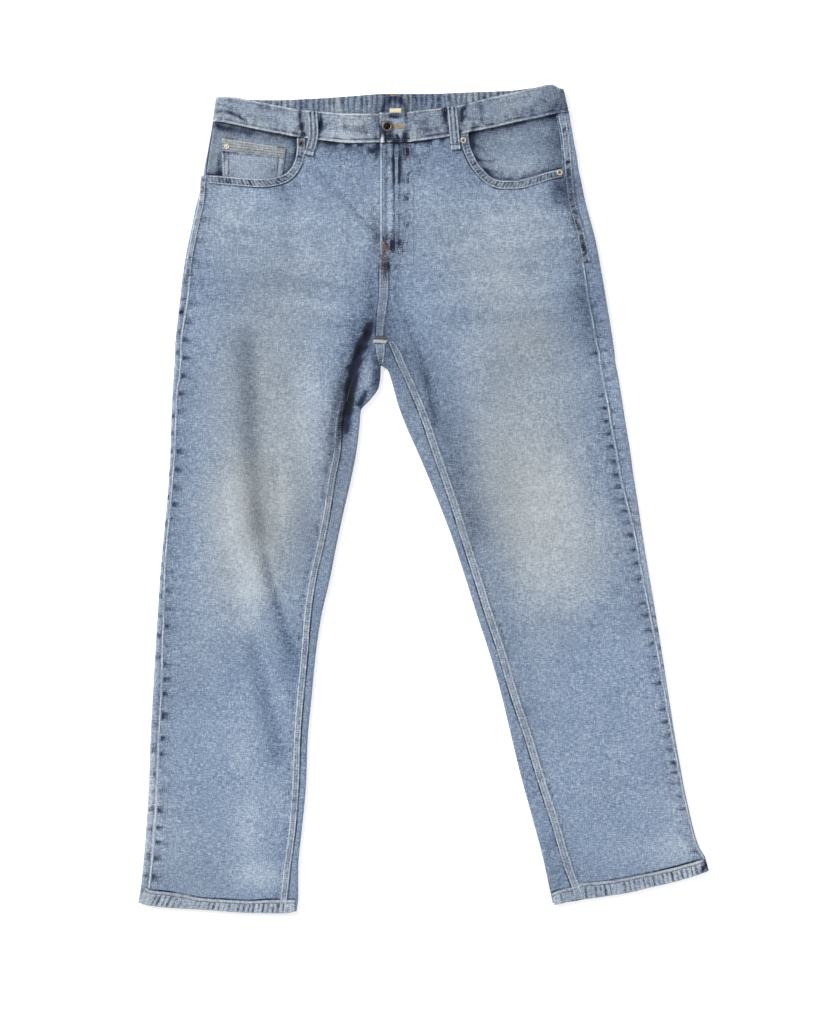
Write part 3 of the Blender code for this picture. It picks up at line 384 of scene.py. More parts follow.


# pale and grey patches of the wash, and darker patches that are partly painted shade below the pocket mouths and beside
# the folds: centre x y, radius x y, how pale, how grey
fadeAndShadeRows = np.array([
    (-205, 105, 68, 165, 0.15, 0.55), (-232, -62, 56, 108, 0.33, 0.5), (-185, -20, 66, 110, 0.1, 0.35),
    (125, 110, 74, 165, 0.14, 0.55), (176, -62, 68, 112, 0.36, 0.48), (120, -10, 70, 100, 0.06, 0.3),
    (-165, 300, 80, 80, 0.06, 0.3), (90, 315, 90, 80, 0.1, 0.35), (-250, 345, 34, 70, 0.06, 0.2),
    (-55, 228, 36, 66, -0.3, 0), (214, 250, 30, 56, -0.42, 0), (177, 392, 18, 26, -0.45, 0),
    (-99, 100, 15, 60, -0.22, 0.1), (326, -425, 26, 66, 0.2, 0), (-347, -405, 16, 70, 0.4, 0),
    (-208, -480, 34, 18, 0.35, 0), (-70, 158, 6, 17, 0.4, 0), (90, 200, 90, 30, 0.06, 0.1),
    (-155, -40, 26, 72, -0.2, 0), (-170, -205, 14, 42, -0.3, 0), (-222, -130, 17, 50, 0.26, 0),
    (-245, -205, 17, 40, -0.14, 0), (-144, 105, 20, 84, 0.26, 0), (-52, 190, 28, 60, -0.26, 0),
    (-17, 145, 16, 42, -0.18, 0), (-215, 262, 84, 22, -0.24, 0), (200, 238, 40, 60, -0.2, 0),
    (150, 190, 50, 40, -0.12, 0), (-186, 406, 20, 20, -0.4, 0), (-240, 378, 34, 24, 0.2, 0),
    (-318, -420, 24, 52, 0.16, 0), (300, -448, 54, 28, 0.22, 0), (-222, -425, 22, 50, 0.24, 0),
    (-195, -330, 14, 30, -0.14, 0), (-232, -328, 22, 26, 0.2, 0), (186, 392, 18, 26, -0.5, 0),
    (-40, 400, 12, 46, -0.2, 0), (-30, 345, 16, 30, -0.15, 0), (-215, -330, 70, 150, 0.14, -0.25),
    (235, -320, 80, 150, 0.14, -0.2), (-80, 250, 30, 70, -0.12, 0), (-112, 30, 22, 150, -0.1, 0.1),
    (-330, 120, 26, 260, -0.06, 0), (262, 120, 30, 240, -0.16, 0), (-20, 200, 50, 40, -0.1, 0),
    (70, 430, 90, 40, -0.1, 0), (-100, 420, 60, 40, -0.06, 0)], float)
# whiskers of the hips, painted shade along the folds of the legs and the crotch, and other soft streaks: three points,
# how pale, half widths
whiskerAndFoldShadeRows = np.array([
    (-285, 330, -200, 320, -110, 300, 0.1, 7, 7), (-290, 300, -210, 284, -90, 268, -0.13, 5, 7),
    (-280, 268, -200, 262, -90, 240, 0.11, 8, 8), (-270, 240, -190, 238, -80, 212, -0.1, 6, 7),
    (-150, 424, -100, 380, -60, 332, -0.24, 2.2, 3.5), (-144, 424, -92, 380, -56, 332, 0.1, 5, 5),
    (200, 335, 110, 326, 0, 312, 0.11, 8, 8), (205, 304, 120, 294, 0, 282, -0.12, 5, 7),
    (215, 270, 130, 268, 0, 250, 0.1, 9, 9), (215, 240, 140, 240, 20, 216, -0.09, 6, 7),
    (-236, 20, -190, 10, -150, 30, -0.05, 10, 10), (-260, -130, -220, -150, -160, -140, -0.08, 14, 10),
    (120, -150, 180, -165, 240, -150, -0.08, 14, 10), (-140, -20, -128, -120, -150, -240, -0.1, 9, 12),
    (84, -60, 108, -160, 150, -300, -0.1, 12, 8), (-226, 225, -219, 60, -205, -70, -0.56, 13, 17),
    (-212, 10, -206, -76, -168, -200, -0.28, 6, 9), (-222, -160, -206, -240, -174, -350, -0.3, 9, 14),
    (-196, 60, -192, -20, -180, -110, -0.22, 12, 10), (-16, 196, 22, 100, 74, -80, -0.34, 26, 10),
    (-99, 170, -109, 90, -121, -20, -0.3, 9, 10), (28, 180, 46, 80, 84, -60, -0.08, 14, 14),
    (-180, 60, -176, 0, -186, -70, 0.1, 7, 7), (-250, 40, -246, -20, -236, -90, 0.08, 8, 8),
    (40, 330, 40, 300, 50, 262, -0.08, 14, 14), (-210, 250, -150, 244, -90, 246, 0.08, 7, 7),
    (30, 236, 90, 226, 190, 232, -0.1, 8, 8), (-250, 214, -190, 206, -130, 214, -0.08, 8, 8),
    (-262, 352, -200, 350, -120, 356, 0.14, 9, 9), (-260, 322, -200, 312, -130, 316, -0.12, 7, 7),
    (60, 352, 130, 356, 200, 366, 0.14, 9, 9), (40, 320, 120, 316, 200, 320, -0.12, 7, 7),
    (30, 282, 110, 280, 200, 286, 0.1, 7, 7), (40, 256, 120, 254, 200, 258, -0.1, 6, 6),
    (-178, 404, -172, 360, -176, 300, -0.16, 9, 9), (-166, 380, -150, 350, -146, 290, 0.08, 9, 9),
    (170, 60, 190, -10, 200, -70, 0.08, 12, 12)], float)


# painted shade along the creases and in the hollows of the cloth: three points, how dark, half widths
creaseShadeRows = np.array([
    (-140, 424, -100, 384, -58, 334, 0.42, 1.6, 3.4), (-62, 228, -90, 186, -101, 74, 2.3, 6.6, 7),
    (-74, 240, -104, 186, -112, 50, 0.4, 8, 14), (-59, 182, -55, 158, -66, 134, 0.8, 6, 6),
    (-72, 140, -76, 128, -84, 114, 1.1, 5, 5), (-28, 236, -6, 196, 16, 92, 0.42, 8, 4),
    (0, 168, 8, 132, 15, 86, 0.45, 5, 3), (14, 110, 34, 60, 72, -60, 0.2, 14, 5),
    (-222, 180, -218, 60, -210, -60, 0.1, 8, 14), (-206, -60, -190, -120, -162, -208, 0.42, 3, 9),
    (-222, -180, -204, -250, -176, -340, 0.14, 7, 12), (228, 110, 206, 0, 214, -130, 0.1, 12, 12),
    (-256, 341, -240, 336, -222, 338, 0.22, 2, 3), (-58, 330, -62, 350, -66, 372, 0.3, 5, 6),
    (6, 440, -4, 424, -8, 404, 0.32, 6, 7), (70, 424, 84, 430, 92, 428, 0.5, 1.4, 2.4),
    (150, 330, 190, 322, 214, 330, 0.2, 2, 4), (180, 258, 200, 262, 224, 272, 0.16, 3, 4),
    (-70, 300, -64, 270, -66, 232, 0.22, 5, 7), (-36, 300, -32, 262, -36, 232, 0.24, 4, 6),
    (-176, 380, -168, 374, -160, 378, 0.16, 6, 6)], float)
# painted shade in hollows: centre x y, radius x y, how dark
hollowShadeRows = np.array([
    (-66, 441, 9, 6, 0.7), (-24, 438, 14, 10, 0.5), (-8, 424, 12, 12, 0.3), (171, 392, 10, 20, 0.55),
    (194, 352, 10, 18, 0.3), (-120, 448, 30, 6, 0.35), (60, 450, 20, 6, 0.4), (-292, 392, 14, 5, 0.45),
    (-90, 436, 34, 20, 0.16), (26, 432, 22, 18, 0.16), (-170, 398, 16, 8, 0.2), (-33, 322, 9, 14, 0.55),
    (-50, 330, 9, 8, 0.5), (66, 404, 10, 14, 0.28), (-49, 300, 8, 20, 1.15), (-38, 318, 8, 14, 0.55),
    (-34, 296, 10, 5, 0.35), (-59, 156, 6, 14, 0.4), (-77, 125, 6, 9, 0.5), (-50, 330, 5, 6, 0.6),
    (360, -471, 7, 9, 1.5), (-62, 336, 7, 16, 0.55), (-60, 436, 5, 9, 0.7), (-20, 438, 10, 8, 0.5),
    (-64, 446, 12, 5, 0.5), (-40, 332, 10, 12, 0.45), (-195, 414, 10, 8, 0.35), (-64, 318, 8, 12, 0.3)], float)


def creaseShade(x, y):
    # painted shade: dark lines along the crease curves and dark bells at the hollows, roughened by small hills
    total = foldHeight(x, y, creaseShadeRows) * (0.8 + 0.35 * hills(x, y, 6, 15))
    for row in hollowShadeRows:
        hollow = np.exp(-((x - row[0]) / row[2]) ** 2 - ((y - row[1]) / row[3]) ** 2)
        total += row[4] * hollow * (0.8 + 0.5 * hills(x, y, 5, 16))
    return np.maximum(total, 0)


def fadesAndShade(x, y):
    # how pale and how grey the washed denim is, with painted shade along its folds: the sum of the patches, the
    # whiskers and fold shade, and broad random clouds
    pale, grey = np.zeros(np.shape(x)), np.zeros(np.shape(x))
    for row in fadeAndShadeRows:
        amount = np.exp(-(((x - row[0]) / row[2]) ** 2 + ((y - row[1]) / row[3]) ** 2) ** 1.5)
        pale += row[4] * amount
        grey += row[5] * amount
    pale += foldHeight(x, y, whiskerAndFoldShadeRows)
    pale += 0.07 * hills(x, y, 48, 11) + 0.04 * hills(x, y, 17, 12) + 0.03 * hills(x * 0.5, y, 7, 14)
    # the cloth darkens towards the waistband
    for half in (right, left):
        nearBand = 0.16 * bell(np.minimum(y - half.bandLow(x), 0), 12)
        pale -= np.where(x * half.inward < fly["lapX"] * half.inward, nearBand, 0)
    return pale, grey + 0.1 * hills(x, y, 70, 13)


def washAndShadeOf(pale, dark, grey):
    # the four channels that the denim shader reads: how pale (washed fades and painted highlights), how dark (indigo,
    # seam marks and painted shade), how grey, and 1 on the cloth's inner face
    return np.stack(np.broadcast_arrays(pale, np.clip(dark, 0, darkest), grey, 0), axis=-1).astype(float)


def puckers(along, pitch, seed):
    # short dark creases that run across a seam about every pitch, uneven in place and strength
    wave = np.cos((along + 0.42 * pitch * hills(along, 0 * along, pitch * 2.2, seed)) * 2 * math.pi / pitch)
    return smooth((wave - 0.35) * 1.7) * smooth(0.85 + 1.1 * hills(along, 0 * along, pitch * 1.4, seed + 1))


def spots(along, across, size, seed, much=0.25):
    # dark puckers beside a seam: random hills above a level, stretched across the seam
    return smooth((hills(along, across * 0.45, size, seed) - much) * 2.6)


seamPitch = dict(right=23, left=16.5)     # distance between the puckers along each side seam
edgeSteps = np.array([0, 0.5, 1.2, 2.2, 3.5, 5, 6.5, 8, 9, 10, 11.2, 12.6, 14.5, 17])


def frontPlan(half, step=3, middle=64):
    # rows run from the pocket mouth or the side seam to the fly or the inseam
    rows = half.rows[1:]
    outer, front, inner = rows[:, 0:2], rows[:, 3:5], rows[:, 5:7]
    gap = cloth["seamGap"] / 2
    seam = outer + unit(inner - outer) * (rows[:, 2:3] + gap)
    count = len(half.mouth)
    flyEnds = np.stack([np.full(count, fly["lapX"]), np.linspace(fly["topY"], fly["mouthY"], count)], axis=1)
    starts, stops = np.concatenate([half.mouth, seam]), np.concatenate([flyEnds, front])
    stops[:, 0] -= half.inward * gap
    if half.name == "right":
        stops[:, 0] += fly["under"] * smooth((stops[:, 1] - fly["footY"]) / fly["edgeRun"])
    steps = np.maximum(np.linalg.norm(np.diff(starts, axis=0), axis=1), np.linalg.norm(np.diff(stops, axis=0), axis=1))
    place = np.concatenate([[0], np.cumsum(steps)])
    fine = np.concatenate([np.linspace(a, b, max(int(round((b - a) / step)), 1), endpoint=False)
                           for a, b in zip(place[:-1], place[1:])] + [place[-1:]])
    corner = place[count - 1]
    onMouth = (fine <= corner)[:, None]
    starts = np.where(onMouth, spline(fine, place[:count], starts[:count]),
                      spline(fine, place[count - 1:], starts[count - 1:]))
    stops = spline(fine, place, stops)
    length = np.linalg.norm(stops - starts, axis=1)[:, None]
    lead = edgeSteps[-1]
    share = np.linspace(0, 1, middle)[1:-1]
    distance = np.concatenate([np.repeat(edgeSteps[None], len(fine), 0), lead + (length - 2 * lead) * share,
                               length - edgeSteps[None, ::-1]], axis=1)
    plan = starts[:, None] + unit(stops - starts)[:, None] * distance[..., None]
    # the first rows bend to the waistband's lower edge and slip under it
    shift = half.bandLow(plan[0, :, 0]) + tuck - plan[0, :, 1]
    plan[..., 1] += shift[None] * (1 - smooth(fine / 22))[:, None]
    return plan, distance, length - distance, fine, corner


def frontPanel(half, material):
    # the half's height over its plan, sunk at the mouth, the seams and the waistband, with puckers beside the seams;
    # painted shade under the mouth's hem, at the seams, under the waistband and in the creases
    plan, fromStart, fromStop, place, corner = frontPlan(half)
    x, y = plan[..., 0], plan[..., 1]
    z = half.height(x, y)
    onMouth = (place <= corner + 1)[:, None]
    onSeam = ~onMouth
    pale, grey = fadesAndShade(x, y)
    dark = np.zeros(x.shape)
    # pocket mouth: the edge rolls down; its hem lies on it as a piece of its own
    z -= np.where(onMouth, 0.8 * (1 - rim(fromStart / 1.5)), 0)
    pucker = hills(place[:, None], fromStart * 0.4, 8, 31 + len(half.name))
    # painted shade under the lower edge of the mouth's hem
    dark += np.where(onMouth, 0.5 * bell(fromStart - 12, 5) * smooth(pucker * 1.4 + 0.3), 0)
    # side seam and inseam: the edge rolls down into the seam, with puckers beside it
    z -= np.where(onSeam, 0.7 * (1 - rim(fromStart / 1.6)), 0)
    upper = run(y, 180, 260)
    seamPucker = puckers(y + 0.12 * fromStart, seamPitch[half.name], 41 + len(half.name))
    dark += np.where(onSeam, 0.95 * seamPucker * bell(fromStart - 2.5, 8.5) * (1 - 0.5 * upper), 0)
    # painted shade in the gap at the seam's edge and softly beside it
    dark += np.where(onSeam, (0.1 + 0.4 * upper) * bell(fromStart - 0.4, 1) + 0.16 * bell(fromStart, 12), 0)
    z -= np.where(onSeam, 0.45 * seamPucker * bell(fromStart - 3, 5.5), 0)
    low = run(y, 300, 250)
    inPucker = spots(place[:, None], fromStop, 6, 51 + len(half.name), 0.3)
    dark += (0.35 * inPucker * bell(fromStop - 12.5, 3) + 0.12 * bell(fromStop - 10, 8)) * low
    z -= 0.3 * bell(fromStop - 11.5, 1.6) * low
    z -= 0.6 * (1 - smooth(place / 4))[:, None]
    # painted shadow under the waistband's lower edge, broken into blots
    blot = hills(x, y * 0.6, 8, 63)
    down = place[:, None]
    dark += (0.85 * bell(down - 1.5, 1.8) * smooth(0.9 + blot) + 0.55 * bell(down - 3, 4) * smooth(0.5 + blot)
             + 0.3 * bell(down - 6, 14) * smooth(0.3 + blot))
    dark += creaseShade(x, y)
    return shell("front_" + half.name + "_cloth", xyz(plan, z), washAndShadeOf(pale, dark, grey), material)


flyRows = [[(-52.2, 449), (-52.2, 400), (-52.3, 322)], [(-48.8, 449), (-48.8, 400), (-48.8, 326)],
           [(-23.5, 449), (-23.5, 380), (-23, 335), (-23.5, 328), (-27, 320), (-34, 315), (-42, 312)],
           [(-17.2, 449), (-17, 380), (-16, 338), (-15.5, 329), (-20, 317.5), (-30, 310), (-40, 305.4), (-44, 301)]]


def flyPatch(material):
    # the double cloth of the fly on the left front, within its J-shaped stitching: a rounded ridge over the zip, a
    # groove beside it and puckers along the stitch rows; at its borders it lies on the panel
    xs, ys = np.linspace(-55.2, -12, 54), np.linspace(452, 297, 150)
    x, y = np.meshgrid(xs, ys)
    ridge = run(y, 300, 326)
    jRow = fromLine(smoothLine(flyRows[3], 3), x, y)[0]
    jIn = fromLine(smoothLine(flyRows[2], 3), x, y)[0]
    wobble, small = hills(y * 0.8, x * 0.5, 9, 61), hills(x * 1.4, y, 3.4, 62)
    lift = 0.1 + 0.7 * bell(x + 42, 4.6) * ridge - 0.75 * bell(x + 34.5, 2.2) * ridge
    lift = lift + 0.25 * bell(x + 28.5, 3) * ridge - 0.3 * bell(jRow, 0.9) - 0.3 * bell(jIn, 0.9)
    lift = lift + 0.22 * small * bell(jRow + 3, 5) + 0.25 * wobble * ridge * bell(x + 30, 9)
    lift = lift - 0.7 * (1 - rim((x + 55.2) / 1.4)) + ridge * (0.25 * bell(x + 53.6, 1.4) - 0.3 * bell(x + 50.6, 0.9))
    borders = smooth((x + 12) / -3) * smooth((y - 297) / 5)
    z = left.height(x, y) + np.where(x > -52, lift * borders + 0.06 * (1 - borders), lift)
    pale, grey = fadesAndShade(x, y)
    dark = np.zeros(x.shape)
    pale += ridge * (0.66 * bell(x + 42, 3.8) * (0.85 + 0.6 * wobble) + 0.85 * bell(x + 54, 1.1)
                     + 0.22 * bell(x + 28.5, 2.8) - 0.14)
    dark += ridge * (0.45 * bell(x + 47.5, 1.2) * smooth(0.8 + wobble) + 0.3 * bell(x + 36.5, 1.4))
    # painted shade down the groove beside the ridge, broken up and strongest near y = 418, where it goes on to deep
    # shadow
    cut = smooth(0.75 + 1.2 * hills(y, x * 0.2, 16, 64))
    deep = 0.55 + 0.75 * bell(y - 418, 28)
    dark += run(y, 314, 340) * 1.35 * bell(x + 34.2, 2.6 + 2.2 * cut * deep) * (0.6 + 0.45 * cut) * deep
    dark += bell(y - 436, 10) * smooth(0.6 + wobble + 0.5 * small) * bell(x + 44, 12)
    dark += ridge * 0.85 * bell(x + 50.6, 1.2) * smooth(0.8 + small) + 0.7 * bell(y - 447, 6) * smooth(wobble + 0.6)
    tack = bell(y - 322, 9) + bell(y - 405, 5) * 0.8
    dark += 0.7 * bell(x + 45, 6) * smooth(tack - 0.25 + 0.5 * small)
    ticks = smooth(0.55 + 0.8 * np.cos((y + x * 0.4) * 2 * math.pi / 4.7 + 3 * small))
    for line in (jRow, jIn):
        dark += 0.85 * bell(line, 0.8) * ticks + 0.25 * bell(line, 1.2)
        pale += 0.34 * bell(np.abs(line) - 1.8, 0.9) * (0.7 + 0.6 * wobble)
    dark += (0.6 * bell(jRow + 3.2, 3) * smooth(small + wobble + 0.15)
             + 0.45 * bell(x + 22, 12) * smooth(wobble + 0.4))
    dark += 0.6 * bell(y - 311, 11) * bell(x + 33, 11) * smooth(0.4 + small + wobble) + 0.7 * creaseShade(x, y)
    return shell("fly_topstitched_cloth", np.stack([x, y, z], axis=-1), washAndShadeOf(pale, dark * borders, grey), material, 0.8)


def skinPoint(plan, z, away, rise):
    # a point of the cloth's outer face with its outward normal; away is the normal seen from above
    shape = np.broadcast_shapes(plan.shape[:-1], np.shape(z), np.shape(away)[:-1], np.shape(rise))
    parts = [np.broadcast_to(plan[..., k], shape) for k in range(2)] + [np.broadcast_to(z, shape)]
    parts += [np.broadcast_to(away[..., k], shape) for k in range(2)] + [np.broadcast_to(rise, shape)]
    return np.stack(parts, axis=-1)


def topSkin(half, plan):
    # points on the top layer, facing up
    return skinPoint(plan, half.height(plan[..., 0], plan[..., 1], False), np.zeros_like(plan), 1)


def flatSkin(plan):
    # points on the underside, facing down
    return skinPoint(plan, levels(plan[..., 1])[0], np.zeros_like(plan), -1)


def rimSkin(edge, inward, radius, low, angle):
    # round a folded edge: angle is 90 degrees on top, 0 at the edge, -90 underneath
    plan = edge + inward * (radius * (1 - np.cos(angle)))[..., None]
    return skinPoint(plan, low + radius + radius * np.sin(angle), -inward * np.cos(angle)[..., None], np.sin(angle))


def rimColumns(half, outer, inward, seamIn):
    # from the side seam on top, over the folded edge, to the underside
    low, high = levels(outer[:, 1])
    radius = (high - low) / 2
    seam = seamIn - cloth["seamGap"] / 2
    start = np.arccos(1 - np.minimum(seam / radius, 1))
    columns = [topSkin(half, outer + inward * seam[:, None])]
    for share in (0.95, 0.7, 0.45, 0.22, 0, -0.25, -0.5, -0.75, -1):
        angle = share * (start if share > 0 else np.full(len(outer), math.pi / 2))
        columns.append(rimSkin(outer, inward, radius, low, angle))
    return np.stack(columns, axis=1)


def flatBetween(first, last, count):
    # columns on the underside at even shares between two others
    share = np.linspace(0, 1, count + 2)[1:-1]
    return flatSkin(first[:, None, :2] + (last - first)[:, None, :2] * share[None, :, None])


tailAngles = np.radians([-90, -30, 30, 90])


def legTail(half, inner, inward, front):
    # round the folded inner edge to the inseam on top
    low, high = levels(inner[:, 1])
    radius = (high - low) / 2
    columns = [rimSkin(inner, -inward, radius, low, np.full(len(inner), angle)) for angle in tailAngles]
    seam = front + np.array([half.inward * cloth["seamGap"], 0])
    edge = columns[3][:, :2]
    columns += [topSkin(half, edge + (seam - edge) * share) for share in (0.5, 1)]
    return np.stack(columns, axis=1)


def crotchRows(half):
    # row m ends on the centre seam at its m-th stop: under the fold, round it, then on top
    part = slice(crotchRow, crotchRow + 4)
    front, inner = half.rows[part, 3:5], half.rows[part, 5:7]
    gap = half.inward * cloth["seamGap"] / 2
    apex = inner[0] - np.array([gap, 0])
    edge = np.concatenate([apex[None], inner[1:]])
    lengths = lineLengths(edge)
    meet = front[0] - np.array([gap, 2.5 * cloth["seamGap"]])
    low, high = levels(apex[1])
    radius = (high - low) / 2
    rows = []
    for m in range(6):
        row = []
        for i in range(6):
            stop, w = i - (5 - m), (5 - i) * 1.2
            point = pointsAlong(edge, lengths, w)
            turn = math.pi / 2 * smooth(w / 6)
            inward = np.array([-half.inward * math.sin(turn), math.cos(turn)])
            if stop < 0:
                row.append(skinPoint(point + inward * (radius - stop * 2.5), low, np.zeros(2), -1))
            elif stop <= 3:
                row.append(rimSkin(point, inward, radius, low, tailAngles[stop]))
            else:
                start = apex + np.array([0, radius]) if i == 5 else row[-1][:2]
                row.append(topSkin(half, (meet if stop == 5 else (start + meet) / 2)[None])[0])
        rows.append(np.array(row))
    return np.array(rows)


def backSkin(half):
    # control grid of a back panel, from the yoke seam to the hem
    rows = half.rows
    outer, front, inner, seamIn = rows[:, 0:2], rows[:, 3:5], rows[:, 5:7], rows[:, 2]
    hipOuter = np.concatenate([half.top[1:, 0:2], outer[:crotchRow]])
    hipInner = np.concatenate([half.top[1:, 3:5], inner[:crotchRow]])
    hipSeam = np.concatenate([half.top[1:, 2], seamIn[:crotchRow]])
    hipInner[:, 0] -= half.inward * cloth["seamGap"] / 2
    inward = unit(hipInner - hipOuter)
    hipRim = rimColumns(half, hipOuter, inward, hipSeam)
    back = np.array([5, 4, 3, 2, 1, 0]) * 2.5
    hipTail = flatSkin(hipInner[:, None] - inward[:, None] * back[None, :, None])
    foldTail = crotchRows(half)
    count = len(foldTail)
    place = crotchRow - 1 + 2 * (np.arange(count) + 0.6) / (count + 0.6)
    foldOuter = pointsAlong(outer, np.arange(len(outer)), place)
    foldSeam = np.interp(place, np.arange(len(outer)), seamIn)
    foldRim = rimColumns(half, foldOuter, unit(inner[crotchRow] - foldOuter), foldSeam)
    start = crotchRow + 1
    legInward = unit(inner[start:] - outer[start:])
    legRim = rimColumns(half, outer[start:], legInward, seamIn[start:])
    tail = legTail(half, inner[start:], legInward, front[start:])
    rims, tails = np.concatenate([hipRim, foldRim, legRim]), np.concatenate([hipTail, foldTail, tail])
    return np.concatenate([rims, flatBetween(rims[:, -1], tails[:, 0], 4), tails], axis=1), len(hipRim), count


def refine(grid, axis, steps):
    # a smooth curve through every row or column of a grid, with steps[k] pieces between neighbours k and k + 1
    grid = np.moveaxis(grid, axis, 0)
    length = np.linalg.norm(np.diff(grid[..., :3], axis=0), axis=-1).mean(axis=tuple(range(1, grid.ndim - 1)))
    place = np.concatenate([[0], np.cumsum(np.maximum(length, 0.05))])
    fine = np.concatenate([np.linspace(place[k], place[k + 1], steps[k], endpoint=False) for k in range(len(steps))]
                          + [place[-1:]])
    return np.moveaxis(spline(fine, place, grid), 0, axis), fine


def stepsFor(grid, axis, size):
    # pieces of about that size between neighbours, by the longest of their distances
    length = np.linalg.norm(np.diff(grid[..., :3], axis=axis), axis=-1).max(axis=1 - axis)
    return np.maximum(np.ceil(length / size).astype(int), 1)


def skinSteps(skin):
    # pieces between the control rows and between the control columns; the folded edge's own columns are close enough
    rowSteps, columnSteps = stepsFor(skin, 0, 3.4), stepsFor(skin, 1, 3.6)
    columnSteps[:10] = 1
    return rowSteps, columnSteps


def backPanel(half, material):
    # the back panel's control grid, refined; on top it follows the half's height, underneath it lies nearly flat
    skin, hipCount, foldCount = backSkin(half)
    rowSteps, columnSteps = skinSteps(skin)
    columnSteps[-2:] = np.minimum(columnSteps[-2:], 6)
    fold = np.zeros(len(skin))
    fold[hipCount - 1:hipCount + foldCount + 1] = 1
    fold = np.repeat(fold[:-1], rowSteps).tolist() + [0]
    skin, _ = refine(skin, 0, rowSteps)
    skin, _ = refine(skin, 1, columnSteps)
    point, normal = skin[..., :3], unit(skin[..., 3:])
    x, y, rise = point[..., 0], point[..., 1], normal[..., 2]
    onTop = smooth((rise - 0.3) / 0.4) * (1 - np.array(fold))[:, None]
    z = point[..., 2] * (1 - onTop) + half.height(x, y) * onTop
    under = smooth(-rise)
    # underneath, the cloth lies flat with slight hollows
    z += under * (0.3 + 0.25 * hills(x, y, 30, 71)) * smooth((np.minimum(*half.fromEdges(x, y)) - 12) / 25)
    pale, grey = fadesAndShade(x, y)
    outer = (x - half.outerX(y)) * half.inward
    sideGap = (half.seamX(y) - x) * half.inward
    lower = 1 - run(y, 286, 300)
    marks = puckers(y - 0.15 * outer, seamPitch[half.name] * 1.15, 73 + len(half.name))
    top = smooth(rise * 3)
    # painted shade in the gap at the side seam, with dark puckers beside it
    dark = top * lower * (0.14 * bell(sideGap, 1.6) + 0.8 * marks * bell(sideGap - 3.5, 6.5))
    if half.name == "right":
        close = puckers(y + 0.3 * outer, 9, 79) * run(y, 200, 226) * (1 - run(y, 284, 300))
        dark += top * bell(sideGap - 4, 4.5) * (0.95 * close + 0.35 * run(y, 200, 240) * lower)
    dark += top * (0.1 * smooth(0.6 + hills(x, y, 26, 76)) + creaseShade(x, y))
    pale += top * (0.24 * smooth((40 - outer) / 20) - 0.04 + 0.12 * bell(outer - 1, 2.5)) * lower
    z -= onTop * 0.45 * bell(sideGap, 0.9)
    z -= onTop * 0.3 * marks * bell(sideGap - 4, 5)
    pale = pale * (1 - 0.4 * under) + under * 0.06
    grid = np.stack([x, y, np.maximum(z, tableGap)], axis=-1)
    return shell("back_" + half.name + "_cloth", grid, washAndShadeOf(pale, dark, grey), material, up=-1)


def yoke(half, material):
    # from the waistband to the yoke seam: a strip of the top, the folded side and the back
    share = np.linspace(0, 1, 5)[:, None]
    outer = half.top[0, 0:2] + (half.top[1, 0:2] - half.top[0, 0:2]) * share
    inner = half.top[0, 3:5] + (half.top[1, 3:5] - half.top[0, 3:5]) * share
    seamIn = half.top[0, 2] + (half.top[1, 2] - half.top[0, 2]) * share[:, 0]
    inner[:, 0] -= half.inward * cloth["seamGap"] / 2
    rims = rimColumns(half, outer, unit(inner - outer), seamIn)
    centre = flatSkin(inner)[:, None]
    skin = np.concatenate([rims, flatBetween(rims[:, -1], centre[:, 0], 6), centre], axis=1)
    edge = np.where(np.arange(skin.shape[1]) < 6, half.bandLow(skin[0, :, 0]),
                    np.interp(skin[0, :, 0], bandBack[:, 2], bandBack[:, 3]))
    skin[:, :, 1] += (edge + tuck - skin[0, :, 1])[None] * (1 - share)
    rowSteps, columnSteps = skinSteps(skin)
    skin, down = refine(skin, 0, rowSteps)
    skin, _ = refine(skin, 1, columnSteps)
    x, y, z, rise = skin[..., 0], skin[..., 1], skin[..., 2], skin[..., 5]
    pale, grey = fadesAndShade(x, y)
    under = smooth(-rise)
    z = z - 0.5 * under * bell(down[:, None] - down[-1], 4) + 0.4 * under
    # painted shade where the yoke slips under the waistband, and darker along the yoke seam underneath
    dark = 0.5 * bell(down, 4)[:, None] + 0.5 * under * bell(down[-1] - down, 1.6)[:, None]
    grid = np.stack([x, y, np.maximum(z, tableGap)], axis=-1)
    return shell("yoke_" + half.name + "_cloth", grid, washAndShadeOf(pale, dark, grey), material, up=-1)


def facingHeight(half, layers):
    # so many layers below the front panel away from the side seam, fewer again near the waistband
    def height(x, y):
        below = layers - (layers - 1) * run(y, 460, 474)
        return half.height(x, y) - below * layer * smooth((half.fromEdges(x, y)[0] - 2) / 9)
    return height


# painted shade along the creases inside the pocket mouths, as in creaseShadeRows
facingCreaseShade = np.array([
    (-262, 440, -260, 424, -259, 408, 0.7, 3, 3), (-268, 474, -240, 470, -214, 462, 0.6, 3, 5),
    (-176, 424, -172, 432, -166, 440, 0.5, 4, 4), (66, 432, 82, 428, 92, 430, 0.6, 1.5, 2.5),
    (74, 418, 90, 416, 104, 412, 0.4, 3, 3), (62, 452, 74, 444, 84, 446, 0.35, 2, 4),
    (170, 470, 176, 448, 180, 428, 0.5, 5, 5), (130, 470, 150, 462, 168, 452, 0.25, 3, 6)], float)


